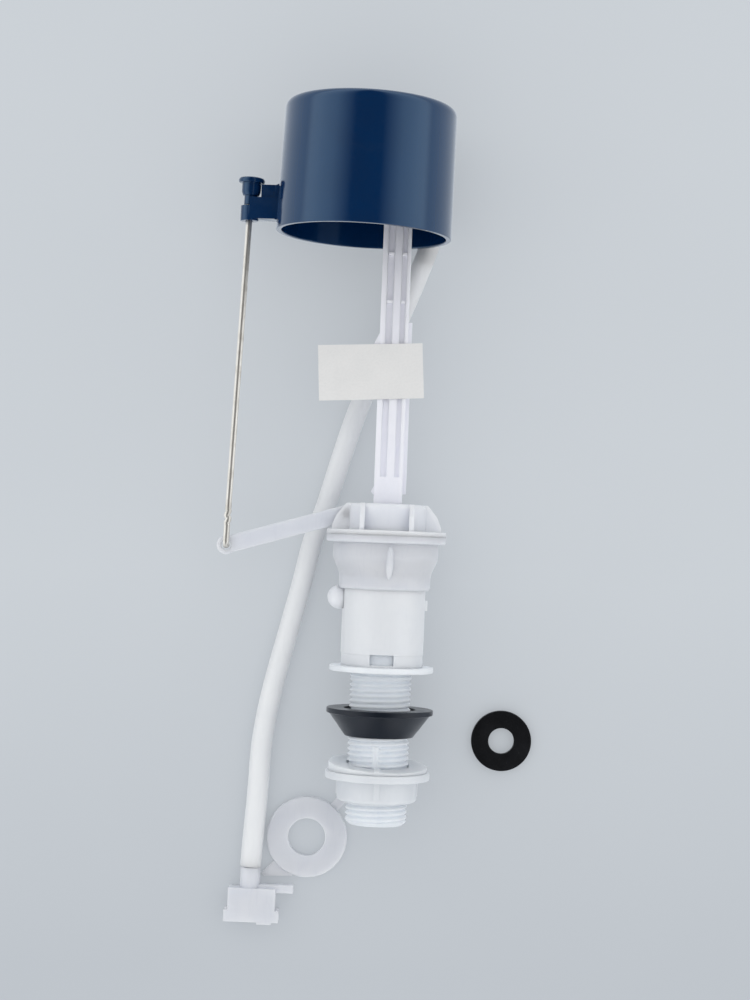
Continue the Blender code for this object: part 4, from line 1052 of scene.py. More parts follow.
def thread_tree() -> GeometryTree:
    """Makes the tree that cuts a right-hand thread, with one levelled strip, into a turned blank.

    Returns:
        The tree.
    """
    sizes = {
        "Pitch": 1.8,
        "Depth": 0.9,
        "Radius": 10.0,
        "Start": 0.0,
        "End": 40.0,
        "Run Out": 1.5,
        "Strip Turn": -0.25,
        "Strip Width": 0.02,
        "Strip Start": 10.0,
        "Strip End": 30.0,
    }
    tree = GeometryTree("cut_thread", {name: ("NodeSocketFloat", value) for name, value in sizes.items()})
    g, given = tree.graph, tree.given
    x, y, z = g.add("ShaderNodeSeparateXYZ", {0: g.add("GeometryNodeInputPosition").outputs[0]}).outputs
    reach = g.math("SQRT", g.math("ADD", g.math("MULTIPLY", x, x), g.math("MULTIPLY", y, y)))
    turn = g.math("DIVIDE", g.math("ARCTAN2", y, x), 2 * math.pi)
    phase = g.math("FRACT", g.math("SUBTRACT", g.math("DIVIDE", z, given["Pitch"]), turn))
    centred = g.math("SUBTRACT", g.math("MULTIPLY", phase, 2.0), 1.0)
    ridge = g.math("SUBTRACT", 1.0, g.math("ABSOLUTE", centred))
    crest = g.ramp(ridge, 0.12, 0.8)
    rise = g.ramp(g.math("DIVIDE", g.math("SUBTRACT", z, given["Start"]), given["Run Out"]), 0.0, 1.0)
    fall = g.ramp(g.math("DIVIDE", g.math("SUBTRACT", given["End"], z), given["Run Out"]), 0.0, 1.0)
    skin = g.ramp(g.math("SUBTRACT", reach, given["Radius"]), -0.03, -0.01)
    share = g.math("MULTIPLY", g.math("MINIMUM", rise, fall), skin)
    aside = g.math("ABSOLUTE", g.math("SUBTRACT", turn, given["Strip Turn"]))
    strip = g.ramp(g.math("DIVIDE", aside, given["Strip Width"]), 1.0, 0.75)
    strip = g.math("MULTIPLY", strip, g.ramp(g.math("SUBTRACT", z, given["Strip Start"]), 0.0, 0.3))
    strip = g.math("MULTIPLY", strip, g.ramp(g.math("SUBTRACT", given["Strip End"], z), 0.0, 0.3))
    filled = g.math("MAXIMUM", crest, strip)
    depth = g.math("MULTIPLY", g.math("SUBTRACT", 1.0, filled), g.math("MULTIPLY", share, given["Depth"]))
    scale = g.math("DIVIDE", g.math("SUBTRACT", reach, depth), g.math("MAXIMUM", reach, 0.001))
    target = g.add(
        "ShaderNodeCombineXYZ", {0: g.math("MULTIPLY", x, scale), 1: g.math("MULTIPLY", y, scale), 2: z}
    ).outputs[0]
    tree.end(g.add("GeometryNodeSetPosition", {"Geometry": given["Geometry"], "Position": target}).outputs[0])
    return tree


def ring_tree() -> GeometryTree:
    """Makes the tree that sets copies of a shape round the z axis.

    Returns:
        The tree.
    """
    tree = GeometryTree(
        "shapes_in_a_ring",
        {
            "Count": ("NodeSocketInt", 6),
            "First Turn": ("NodeSocketFloat", 0.0),
            "Step Turn": ("NodeSocketFloat", 1.0),
        },
    )
    g, given = tree.graph, tree.given
    index = g.add("GeometryNodeInputIndex").outputs[0]
    angle = g.math("ADD", g.math("MULTIPLY", index, given["Step Turn"]), given["First Turn"])
    turn = g.add("ShaderNodeCombineXYZ", {2: angle}).outputs[0]
    points = g.add("GeometryNodePoints", {"Count": given["Count"]}).outputs[0]
    inputs = {"Points": points, "Instance": given["Geometry"], "Rotation": turn}
    tree.end(g.add("GeometryNodeInstanceOnPoints", inputs).outputs[0])
    return tree


def row_tree() -> GeometryTree:
    """Makes the tree that sets copies of a shape in a row along z.

    Returns:
        The tree.
    """
    tree = GeometryTree(
        "shapes_in_a_row",
        {"Count": ("NodeSocketInt", 5), "First": ("NodeSocketFloat", 0.0), "Pitch": ("NodeSocketFloat", 10.0)},
    )
    g, given = tree.graph, tree.given
    index = g.add("GeometryNodeInputIndex").outputs[0]
    height = g.math("ADD", g.math("MULTIPLY", index, given["Pitch"]), given["First"])
    place = g.add("ShaderNodeCombineXYZ", {2: height}).outputs[0]
    points = g.add("GeometryNodePoints", {"Count": given["Count"], "Position": place}).outputs[0]
    copies = g.add("GeometryNodeInstanceOnPoints", {"Points": points, "Instance": given["Geometry"]})
    tree.end(copies.outputs[0])
    return tree


TREES = {"thread": thread_tree(), "ring": ring_tree(), "row": row_tree()}


def ring_of(build: Builder, count: int, first: float, finish: Finish) -> Builder:
    """Sets copies of a shape evenly round the z axis.

    Args:
        build: The shape.
        count: How many copies.
        first: Angle of the first, in degrees.
        finish: The finish that the tree sets.

    Returns:
        A builder of all the copies.
    """
    values = {"Count": count, "First Turn": math.radians(first), "Step Turn": 2 * math.pi / count}
    return mesh_copy(TREES["ring"].run(build, values, finish))


def row_of(build: Builder, count: int, first: float, pitch: float, finish: Finish) -> Builder:
    """Sets copies of a shape in a row along z.

    Args:
        build: The shape.
        count: How many copies.
        first: Height of the first.
        pitch: Step between them.
        finish: The finish that the tree sets.

    Returns:
        A builder of all the copies.
    """
    return mesh_copy(TREES["row"].run(build, {"Count": count, "First": first, "Pitch": pitch}, finish))


# The valve


@dataclass
class Shank:
    """The threaded inlet shank with its seat flange and riser, and the parts in its bore."""

    thread_radius: float = 10.4775
    pitch: float = 1.814
    depth: float = 0.8
    thread_end: float = 50.4
    neck_radius: float = 9.93
    length: float = 51.9
    flange_radius: float = 17.75
    flange_top: float = 53.8
    collar_radius: float = 12.3
    collar_top: float = 59.4
    riser_radius: float = 8.0
    riser_top: float = 78.0
    bore_radius: float = 4.6
    inlet_radius: float = 6.0
    inlet_depth: float = 18.6
    strip: tuple[float, float] = (16.5, 27.2)

    def build(self) -> None:
        """Builds the shank and dresses the parts in its bore."""
        thread = self.thread_radius
        blank = turned(
            [
                (self.inlet_radius, 0.0, 0.3),
                (thread - 1.3, 0.0, 0.2),
                (thread, 1.3, 0.2),
                (thread, self.thread_end, 0.1),
                (self.neck_radius, self.thread_end + 0.5, 0.1),
                (self.neck_radius, self.length, 0.4),
                (self.flange_radius, self.length, 0.45),
                (self.flange_radius, self.flange_top, 0.45),
                (self.collar_radius, self.flange_top),
                (self.collar_radius, self.collar_top, 0.3),
                (self.riser_radius, self.collar_top, 0.3),
                (self.riser_radius, self.riser_top, 0.3),
                (self.bore_radius, self.riser_top, 0.2),
                (self.bore_radius, self.inlet_depth),
                (self.inlet_radius, self.inlet_depth),
            ],
            segments=144,
            fine=0.165,
        )
        values = {
            "Pitch": self.pitch,
            "Depth": self.depth,
            "Radius": thread,
            "Start": 0.6,
            "End": self.thread_end,
            "Run Out": 1.4,
            "Strip Turn": -0.262,
            "Strip Width": 0.02,
            "Strip Start": self.strip[0],
            "Strip End": self.strip[1],
        }
        cut = TREES["thread"].run(blank, values, THREAD_WHITE)
        Shape("threaded_shank", mesh_copy(cut)).done(
            THREAD_WHITE, Body.VALVE, Slot.WHITE, ["shank_body"], sharp=60
        )
        for node, finish in (
            ("inlet_filter", WHITE),
            ("flow_restrictor", GREY),
            ("riser_o_ring", RUBBER),
            ("backflow_washer", RUBBER),
            ("diaphragm", RUBBER),
            ("diaphragm_plate", GREY),
        ):
            dress_node(node, finish)


def dress_node(node: str, finish: Finish) -> None:
    """Gives a frame node that stays as it is its finish.

    Args:
        node: The node's name.
        finish: Its finish.
    """
    for slot in frame["nodes"][node].material_slots:
        slot.material = PALETTE.get(finish)
    LOG.info("%s: kept from the frame", node)


@dataclass
class Sleeve:
    """The outer sleeve over the riser."""

    radius: float = 14.1
    wall: float = 1.6
    base: float = 53.64
    top: float = 79.95
    step: float = 57.9
    step_depth: float = 0.2
    window: tuple[float, float] = (8.0, 3.6)
    elbow_height: float = 76.8
    nub: float = 3.4

    def build(self) -> None:
        """Builds the sleeve with its windows, nub and notch."""
        inner = self.radius - self.wall
        shape = Shape(
            "riser_sleeve",
            turned(
                [
                    (inner, self.base),
                    (self.radius - self.step_depth, self.base, 0.3),
                    (self.radius - self.step_depth, self.step - 0.2, 0.3),
                    (self.radius, self.step + 0.2, 0.3),
                    (self.radius, self.top, 0.12),
                    (inner, self.top),
                ],
                segments=128,
            ),
        )
        half, height = self.window[0] / 2, self.window[1]
        sill = self.base + 0.86
        nub_top = self.elbow_height - 0.3
        notch = 3.8
        side, out = self.nub / 2, self.radius + 0.8
        shape.join(block((inner, -side, nub_top - self.nub), (out, side, nub_top)))
        shape.cut(
            block((-half, -30, sill), (half, 30, sill + height)),
            block((-30, -notch, self.elbow_height - notch), (0, notch, self.top + 5)),
        )
        shape.soften(0.14).done(WHITE, Body.VALVE, Slot.WHITE, ["outer_sleeve"])


@dataclass
class Bowl:
    """The translucent valve bowl with its fins, and the refill elbow beside the sleeve."""

    base: float = 79.8
    neck_radius: float = 15.6
    neck_top: float = 83.6
    straight_end: float = 92.0
    radius: float = 18.0
    flange_base: float = 95.7
    flange_radius: float = 20.37
    top: float = 98.46
    wall: float = 1.6
    floor_base: float = 81.9
    floor: float = 1.8
    fin_size: Point = (1.3, 1.3, 5.7)
    fin_centre: tuple[float, float] = (16.9, 89.0)
    fin_lean: float = 14.0
    fin_turn: float = 5.0
    seat: tuple[float, float] = (17.35, 97.0)
    skirt_radius: float = 12.5
    sock: tuple[float, float, float] = (8.35, 9.95, 8.0)
    nozzle: tuple[float, float] = (4.6, 6.1)
    nozzle_foot: float = 78.3
    nozzle_top: float = 95.2
    outlet: tuple[float, float] = (11.2, 1.0)
    elbow_reach: float = 15.2
    elbow_height: float = 76.8
    elbow_splay: float = 12.0
    ball_radius: float = 4.1
    nipple: tuple[float, float] = (2.1, 1.2)
    barb: tuple[float, float] = (2.5, 1.9)

    def curve(self, offset: float, count: int = 24) -> Profile:
        """Returns the wall's curve, an S from the straight top down to the neck.

        Args:
            offset: How far it is moved out.
            count: How many steps it has.

        Returns:
            Points as (radius, height).
        """
        points = []
        for i in range(count + 1):
            share = i / count
            swell = (1 + math.cos(math.pi * share)) / 2
            radius = self.neck_radius + (self.radius - self.neck_radius) * swell
            points.append((radius + offset, self.straight_end - (self.straight_end - self.neck_top) * share))
        return points

    def build(self) -> None:
        """Builds the bowl and the elbow."""
        floor_base = self.floor_base
        floor_top = floor_base + self.floor
        inside = [p for p in reversed(self.curve(-self.wall)) if p[1] > floor_top]
        seat_radius, seat = self.seat
        sock_bore, sock_radius, sock_length = self.sock
        nozzle_bore, nozzle_radius = self.nozzle
        shape = Shape(
            "valve_bowl_shell",
            turned(
                [
                    (seat_radius, self.top),
                    (self.flange_radius, self.top, 0.15),
                    (self.flange_radius, self.flange_base, 0.8),
                    (self.radius, self.flange_base, 0.5),
                    *self.curve(0.0),
                    (self.neck_radius, self.base, 1.3),
                    (self.skirt_radius, self.base),
                    (self.skirt_radius, floor_base),
                    (sock_radius, floor_base),
                    (sock_radius, floor_base - sock_length),
                    (sock_bore, floor_base - sock_length),
                    (sock_bore, self.nozzle_foot),
                    (nozzle_bore, self.nozzle_foot),
                    (nozzle_bore, self.nozzle_top),
                    (nozzle_radius, self.nozzle_top, 0.4),
                    (nozzle_radius, floor_top),
                    (inside[0][0], floor_top),
                    *inside,
                    (self.radius - self.wall, seat),
                    (seat_radius, seat),
                ],
                segments=128,
            ),
        )
        radius, height = self.fin_centre
        lean = spin(self.fin_lean, "Y")
        size = Matrix.Diagonal((*self.fin_size, 1.0))
        fin = moved(ball((0, 0, 0), 1.0), shift(radius, 0, height) @ lean @ size)
        shape.join(ring_of(fin, 2, -90 + self.fin_turn, MISTY))
        reach, hole = self.outlet
        outlet = bar((reach, 0, floor_base - 1), (reach, 0, floor_top + 1), hole)
        shape.cut(ring_of(outlet, 6, 30, MISTY))
        shape.done(MISTY, Body.VALVE, Slot.CLEAR, ["valve_bowl"], sharp=34)
        self.build_elbow()

    def build_elbow(self) -> None:
        """Builds the elbow: a stub from the skirt, a ball and a barbed nipple to the back."""
        centre = Vector((-self.elbow_reach, 0.0, self.elbow_height))
        splay = math.radians(self.elbow_splay)
        away = Vector((-math.sin(splay), math.cos(splay), 0.0))
        nipple, bore = self.nipple
        shape = Shape("refill_outlet", ball(centre, self.ball_radius))
        shape.join(
            bar((-10.25, 0.0, self.elbow_height), centre, 3.0),
            bar(centre, centre + 11.0 * away, nipple),
            bar(centre + 9.2 * away, centre + 12.0 * away, *self.barb),
        )
        shape.cut(
            bar(centre, centre + 13.0 * away, bore),
            bar((0, 0, self.base - 0.1), (0, 0, self.top), self.neck_radius + 0.3),
        )
        shape.done(MILKY, Body.VALVE, Slot.CLEAR, ["refill_elbow"], sharp=34)


@dataclass
class HeadCap:
    """The head cap with its gussets, the lever on its pin and the pilot pad."""

    base: float = 98.3
    flange_top: float = 99.9
    top: float = 109.0
    flange_radius: float = 20.37
    drum_radius: float = 13.3
    gusset_foot: float = 18.6
    gusset_top: float = 13.9
    gusset: float = 2.3
    front_gusset: float = 8.3
    front_width: float = 1.6
    slot_width: float = 3.3
    cheek: float = 1.8
    recess: tuple[float, float] = (14.5, 0.9)
    pocket: float = 4.3
    post: tuple[float, float] = (9.7, 9.0)
    pivot: tuple[float, float] = (-14.0, 105.26)
    pin_radius: float = 1.0
    pin_hole: float = 1.3
    lever_length: float = 42.4
    lever_drop: float = 16.8
    lever_width: float = 5.8
    lever_thickness: float = 2.6
    eye_radius: float = 3.2
    eye_hole: float = 1.7
    hub_hole: float = 1.35
    toe: tuple[float, float] = (6.4, 1.6)

    def gusset_outline(self, foot: float, top: float) -> Profile:
        """Returns a gusset's profile: a foot on the flange, a short rise and a slope up to the cap's top.

        Args:
            foot: How far out its foot reaches.
            top: How far out its top reaches.

        Returns:
            Points as (reach, height).
        """
        low = self.flange_top - 0.6
        high = self.top - self.flange_top
        corners = [
            (4.0, low),
            (foot, low),
            (foot, self.flange_top + 0.16 * high, 3.0),
            (foot - 0.3 * (foot - top), self.flange_top + 0.55 * high, 3.0),
            (top, self.top, 1.2),
            (4.0, self.top),
        ]
        return rounded(corners, 6)

    def build(self) -> None:
        """Builds the cap and the lever."""
        recess, recess_depth = self.recess
        shape = Shape(
            "head_cap_body",
            turned(
                [
                    (0.0, self.base + recess_depth),
                    (recess, self.base + recess_depth),
                    (recess, self.base),
                    (self.flange_radius, self.base, 0.05),
                    (self.flange_radius, self.flange_top, 0.3),
                    (self.drum_radius, self.flange_top, 0.4),
                    (self.drum_radius, self.top, 1.6),
                    (0.0, self.top),
                ],
                segments=128,
            ),
        )
        cheeks = self.slot_width + 2 * self.cheek
        side = self.gusset_outline(self.gusset_foot, self.gusset_top)
        shape.join(slab(side, self.gusset), moved(slab(side, cheeks), spin(180, "Z")))
        x = self.front_gusset
        foot, top = (math.sqrt(reach**2 - x**2) for reach in (self.gusset_foot, self.gusset_top))
        front = slab(self.gusset_outline(foot, top), self.front_width)
        to_front = spin(-90, "Z")

        def pair(bm: bmesh.types.BMesh) -> list:
            """Adds the two gussets of one face."""
            made = []
            for place in (-x, x):
                made += moved(front, shift(place, 0, 0) @ to_front)(bm)
            return made

        shape.join(ring_of(pair, 2, 0, MILKY))
        half_x, half_y = self.post[0] / 2 + 0.3, self.post[1] / 2 + 0.3
        half_slot = self.slot_width / 2
        x, z = self.pivot
        pin = cheeks / 2 - 0.6
        shape.cut(
            block((-half_x, -half_y, self.top - self.pocket), (half_x, half_y, self.top + 1)),
            block((-40, -half_slot, self.flange_top + 0.3), (-half_x - 1.0, half_slot, self.top + 1)),
            bar((x, -pin, z), (x, pin, z), self.pin_hole),
        )
        shape.soften(0.2, angle=40).done(MILKY, Body.VALVE, Slot.CLEAR, ["head_cap"], sharp=34)
        wire = Shape("lever_pin_wire", bar((x, -pin + 0.1, z), (x, pin - 0.1, z), self.pin_radius))
        wire.soften(0.15).done(STEEL, Body.VALVE, Slot.STEEL, ["lever_pin"])
        self.build_lever()

    def build_lever(self) -> None:
        """Builds the lever with its eye and hub, and gives the pad under its toe its finish."""
        half = self.lever_width / 2
        eye = self.eye_radius
        reach, toe = self.toe
        lead = math.degrees(math.acos(half / eye))
        lean = math.degrees(math.asin(toe / half))
        outline = [
            *arc_points((-self.lever_length, 0.0), eye, 90 - lead, 270 + lead, 28),
            *arc_points((0.0, 0.0), half, -90, -lean, 10),
            (reach, -toe),
            (reach, toe),
            *arc_points((0.0, 0.0), half, lean, 90, 10),
        ]
        x, z = self.pivot
        drop = spin(-self.lever_drop, "Y")
        place = shift(x, 0, z) @ drop
        shape = Shape("lever_bar", slab(outline, self.lever_thickness))
        shape.cut(
            bar((-self.lever_length, -5, 0), (-self.lever_length, 5, 0), self.eye_hole),
            bar((0, -5, 0), (0, 5, 0), self.hub_hole),
        )
        shape.soften(0.5, angle=45, segments=3)
        shape.done(MISTY, Body.LEVER, Slot.CLEAR, ["lever_arm"], place=place, sharp=45)
        dress_node("pilot_pad", RUBBER)


@dataclass
class Post:
    """The guide post: rails, a centre rib and cross webs, front and back."""

    width: float = 9.7
    depth: float = 9.0
    foot: float = 105.0
    top: float = 240.2
    base: float = 118.3
    edges: tuple[float, float] = (1.9, 1.3)
    rib: float = 2.7
    rib_shift: float = 0.55
    core: float = 6.8
    web: float = 1.2
    web_pitch: float = 16.4
    web_count: int = 5
    top_cell: float = 12.4
    setback: float = 0.2
    latch: tuple[float, float, float] = (3.1, 4.1, 6.1)
    rail: tuple[float, float] = (3.6, 62.6)
    wing: tuple[float, float, float] = (1.9, 145.6, 163.3)
    wing_slope: float = 3.9

    def build(self) -> None:
        """Builds the post."""
        half_x, half_y = self.width / 2, self.depth / 2
        shape = Shape("guide_post_moulding", block((-half_x, -half_y, self.foot), (half_x, half_y, self.top)))
        channels = []
        for side, edge in zip((-1, 1), self.edges):
            for face in (-1, 1):
                low = (self.rib_shift + side * self.rib / 2, face * self.core / 2, self.base)
                high = (side * (half_x - edge), face * (half_y + 1), self.top + 1)
                channels.append(block(low, high))
        shape.cut(lambda bm: [vertex for build in channels for vertex in build(bm)])
        first = self.top - self.top_cell - self.web
        edge = self.edges[1]
        across = half_x - edge / 2
        out = half_y - self.setback
        web = block((-across, -out, 0.0), (across, out, self.web))
        shape.join(row_of(web, self.web_count, first, -self.web_pitch, POST_LAVENDER_PAINTED_LIGHTER))
        cap_top = self.foot + 4.0
        low, catch, high = (cap_top + rise for rise in self.latch)
        latch = [
            (1.0 - half_x, low),
            (-half_x, low),
            (-half_x - 1.0, catch),
            (-half_x, high),
            (1.0 - half_x, high),
        ]
        low, high = (cap_top + rise for rise in self.rail)
        rail_low = (half_x - edge / 2, half_y - edge - 2.4, low)
        rail_high = (half_x + 1.3, half_y - edge, high)
        shape.join(slab(latch, self.depth / 2), block(rail_low, rail_high))
        out, low, high = self.wing
        wing = [
            (-half_x + 0.8, low - 1.0),
            (-half_x - out, low),
            (-half_x - out, high),
            (-half_x, high + self.wing_slope),
            (-half_x + 0.8, high + self.wing_slope),
        ]
        shape.join(moved(slab(wing, 1.6), shift(0, -half_y + 1.1, 0)))
        # The post takes the lavender resin, whose extra lightness is painted light.
        shape.soften(0.16, angle=40).done(POST_LAVENDER_PAINTED_LIGHTER, Body.VALVE, Slot.WHITE, ["guide_post"])


@dataclass
class FloatCup:
    """The cup float with its square guide and the lug for the rod."""

    rim_radius: float = 29.75
    draft: float = 0.7
    height: float = 44.3
    wall: float = 1.9
    rounding: float = 3.2
    rim: float = 199.3
    centre: tuple[float, float] = (-11.6, -9.38)
    lean: float = 1.5
    post: tuple[float, float] = (9.7, 9.0)
    guide_gap: float = 0.4
    guide_wall: float = 1.6
    guide_length: float = 29.0
    eye: tuple[float, float] = (-50.9, -2.7)
    eye_radius: float = 3.1
    rod_radius: float = 1.1
    rod_lean: float = 1.863
    knob_neck: float = 2.2
    hole_gap: float = 0.35
    lug: tuple[float, float, float] = (5.2, 12.5, 16.95)
    lug_foot: float = 4.6
    lug_height: float = 5.1

    def build(self) -> None:
        """Builds the cup."""
        top = self.rim_radius - self.draft
        inner_rim = self.rim_radius - self.wall
        inner_top = top - self.wall
        ceiling = self.height - self.wall
        cup = turned(
            [
                (0.0, ceiling),
                (inner_top, ceiling, 1.4),
                (inner_rim, 0.0, 0.45),
                (self.rim_radius, 0.0, 0.45),
                (top, self.height, self.rounding),
                (0.0, self.height),
            ],
            segments=160,
            steps=8,
        )
        x, y = self.centre
        lean = spin(self.lean, "Y")
        shape = Shape("float_cup_shell", moved(cup, shift(x, y, 0) @ lean))
        gap_x = self.post[0] / 2 + self.guide_gap
        gap_y = self.post[1] / 2 + self.guide_gap
        wide_x, wide_y = gap_x + self.guide_wall, gap_y + self.guide_wall
        eye_x, eye_y = self.eye
        skin = top - self.wall / 2
        wall_x = x - math.sqrt(skin**2 - (eye_y - y) ** 2)
        low, mid, high = self.lug
        flare = [
            (wall_x - 3.55, low),
            (wall_x - 1.6, low - 0.5),
            (wall_x, low - 2.6),
            (wall_x, high + 2.6),
            (wall_x - 1.6, high + 0.6),
            (wall_x - 3.55, high - 0.2),
        ]
        foot, height = self.lug_foot, self.lug_height
        shape.join(
            block((-wide_x, -wide_y, ceiling - self.guide_length), (wide_x, wide_y, ceiling + self.wall / 2)),
            block((eye_x, eye_y - 3.2, low), (wall_x, eye_y + 3.2, mid)),
            block((eye_x + 3.85, eye_y - 2.2, mid - 1), (wall_x, eye_y + 2.2, high)),
            moved(slab(flare, 5.4), shift(0, eye_y, 0)),
            bar((eye_x, eye_y, foot), (eye_x, eye_y, foot + height), self.eye_radius),
        )
        swing = math.radians(self.rod_lean)
        along = Vector((math.sin(swing), 0.0, math.cos(swing)))
        hole = Vector((eye_x, eye_y, foot + height / 2))
        shape.cut(
            block((-gap_x, -gap_y, -1.0), (gap_x, gap_y, ceiling)),
            bar(hole - 10 * along, hole + 20 * along, self.rod_radius + self.hole_gap),
            bar(hole + height / 2 * along, hole + 20 * along, self.knob_neck + self.hole_gap),
        )
        shape.soften(0.3, angle=50, segments=3)
        place = shift(0, 0, self.rim)
        shape.done(NAVY, Body.FLOAT, Slot.NAVY, ["float_cup"], place=place, sharp=30)


@dataclass
class LinkRod:
    """The steel link rod and the adjusting knob on its top end."""

    eye: tuple[float, float, float] = (-50.9, -2.7, 206.45)
    lean: float = 1.863
    drop: float = 113.5
    radius: float = 1.1
    top: float = 9.6
    hook: float = 1.7
    tip: float = 5.1
    kink_height: float = 9.5
    kink_length: float = 6.0
    sway: tuple[float, float] = (0.34, 0.2)
    head_radius: float = 4.55
    barrel_radius: float = 3.3
    neck_radius: float = 2.2
    neck_foot: float = 2.9

    def route(self) -> list[Vector]:
        """Returns the rod's centreline, from its top end to its hook."""
        points = [Vector((0, 0, self.top - 1.2 * i)) for i in range(3)]
        kink_top = -self.drop + self.kink_height + self.kink_length / 2
        span = points[-1].z - kink_top
        points += [Vector((0, 0, points[2].z - span * i / 30)) for i in range(1, 30)]
        wide, deep = self.sway
        for i in range(25):
            share = i / 24
            fade = math.sin(math.pi * share)
            angle = 4 * math.pi * share
            height = kink_top - self.kink_length * share
            points.append(Vector((wide * fade * math.sin(angle), deep * fade * math.cos(angle), height)))
        bend = self.hook
        for i in range(13):
            angle = math.pi / 2 * i / 12
            across, up = bend - bend * math.cos(angle), bend - bend * math.sin(angle)
            points.append(Vector((0, across, up - self.drop)))
        points.append(Vector((0, self.tip, -self.drop)))
        return points

    def build(self) -> None:
        """Builds the rod and the knob."""
        place = Matrix.Translation(self.eye) @ spin(self.lean, "Y")
        points = self.route()
        shape = Shape("link_rod_wire", hose(points, [self.radius] * len(points), 28))
        shape.soften(0.18, angle=60).done(STEEL, Body.ROD, Slot.STEEL, ["link_rod"], place=place, sharp=50)
        top = self.top + 2.9
        under = top - 2.2
        foot = under - 4.3
        bore = self.radius + 0.3
        knob = turned(
            [
                (0.0, self.top + 0.3),
                (bore, self.top + 0.3),
                (bore, self.neck_foot, 0.1),
                (self.neck_radius, self.neck_foot, 0.2),
                (self.neck_radius, foot, 0.3),
                (2.75, foot + 0.05, 0.4),
                (self.barrel_radius * 0.98, foot + 1.3, 1.2),
                (self.barrel_radius, under, 0.25),
                (self.head_radius * 0.95, under + 0.1, 0.4),
                (self.head_radius, under + 0.9, 0.7),
                (self.head_radius * 0.94, under + 1.7, 0.7),
                (self.head_radius * 0.62, top - 0.1, 0.6),
                (0.0, top),
            ],
            segments=96,
        )
        Shape("adjusting_knob_cap", knob).done(NAVY, Body.KNOB, Slot.NAVY, ["adjusting_knob"], place=place)


@dataclass
class Fittings:
    """The cone washer, and the lock nut with its flat washer, on the thread."""

    bore: float = 10.8275
    cone_station: float = 29.9
    cone_top: float = 18.2
    cone_foot: float = 11.7
    cone_height: float = 9.4
    nut_station: float = 8.3
    nut_flange: float = 17.8
    nut_body: float = 13.6
    nut_height: float = 7.1
    nut_face: float = 9.7
    washer_radius: float = 16.8
    washer_tilt: float = 4.6
    washer_roll: float = 2.4
    washer_half: float = 0.45
    washer_play: float = 0.15
    seat_gap: float = 0.04
    tab_width: float = 2.1
    lead_in: float = 1.4
    nut_foot: float = -0.4
    nut_rib: tuple[float, float] = (2.0, 0.35)

    def build(self) -> None:
        """Builds the three fittings, with the washer filled down to the nut's face."""
        bore = self.bore
        cone = turned(
            [
                (bore, 0.0, 0.2),
                (self.cone_foot, 0.0, 0.2),
                (self.cone_top - 0.95, self.cone_height - 1.9, 0.3),
                (self.cone_top, self.cone_height - 1.7, 0.3),
                (self.cone_top, self.cone_height, 0.35),
                (bore + self.lead_in, self.cone_height, 0.3),
                (bore + self.lead_in, self.cone_height - 0.7),
                (bore, self.cone_height - self.lead_in),
            ],
            segments=128,
        )
        place = shift(0, 0, self.cone_station)
        Shape("cone_seal", cone).done(RUBBER, Body.CONE, Slot.RUBBER, ["cone_washer"], place=place)
        self.build_nut()
        inner, outer, half = bore - self.washer_play, self.washer_radius, self.washer_half
        ring = turned(
            [(inner, -7 * half), (outer, -7 * half), (outer, half, 0.3), (inner, half, 0.2)],
            segments=128,
        )
        tilt = math.radians(self.washer_tilt)
        roll_angle = math.radians(self.washer_roll)
        lift = outer * math.hypot(math.sin(tilt), math.sin(roll_angle)) + half + self.seat_gap
        roll = Matrix.Rotation(roll_angle, 4, "Y")
        lean = shift(0, 0, lift) @ roll @ Matrix.Rotation(tilt, 4, "X")
        side = self.tab_width / 2
        tab = block((-side, 0.3 - outer, 0.3), (side, -inner - 0.3, half + 0.4))
        shape = Shape("nut_flat_washer", moved(ring, lean)).join(moved(tab, lean))
        shape.cut(block((-30, -30, -10), (30, 30, self.seat_gap)))
        place = shift(0, 0, self.nut_station + self.nut_face)
        shape.done(THREAD_WHITE, Body.CARRIER, Slot.WHITE, ["nut_washer"], place=place)

    def build_nut(self) -> None:
        """Builds the lock nut: flange, rounded body and four ribs."""
        nut = turned(
            [
                (self.bore, self.nut_foot, 0.4),
                (self.nut_body, self.nut_foot, 1.6),
                (self.nut_body, self.nut_height, 0.5),
                (self.nut_flange, self.nut_height, 0.6),
                (self.nut_flange, self.nut_face, 0.6),
                (self.bore, self.nut_face, 0.4),
            ],
            segments=128,
        )
        shape = Shape("lock_nut_body", nut)
        width, out = self.nut_rib
        inner, outer = self.nut_body - 1.4, self.nut_body + out
        rib = block((inner, -width / 2, 1.6), (outer, width / 2, self.nut_face - 1.1))
        shape.join(ring_of(rib, 4, 0, NUT_WHITE))
        place = shift(0, 0, self.nut_station)
        shape.soften(0.2, angle=50).done(NUT_WHITE, Body.NUT, Slot.WHITE, ["lock_nut"], place=place, sharp=34)


def bench(x: float, y: float) -> Matrix:
    """Returns the place of something that lies on the surface, from the inlet end on the valve's axis.

    Args:
        x: How far to the right it is, in millimetres.
        y: How far along the valve.

    Returns:
        Its place before the valve is laid down.
    """
    start = LAID @ Vector((0, 0, 0))
    return LAID_BACK @ shift(start.x + x * MM, start.y + y * MM, 0.0) @ Matrix.Scale(MM, 4)


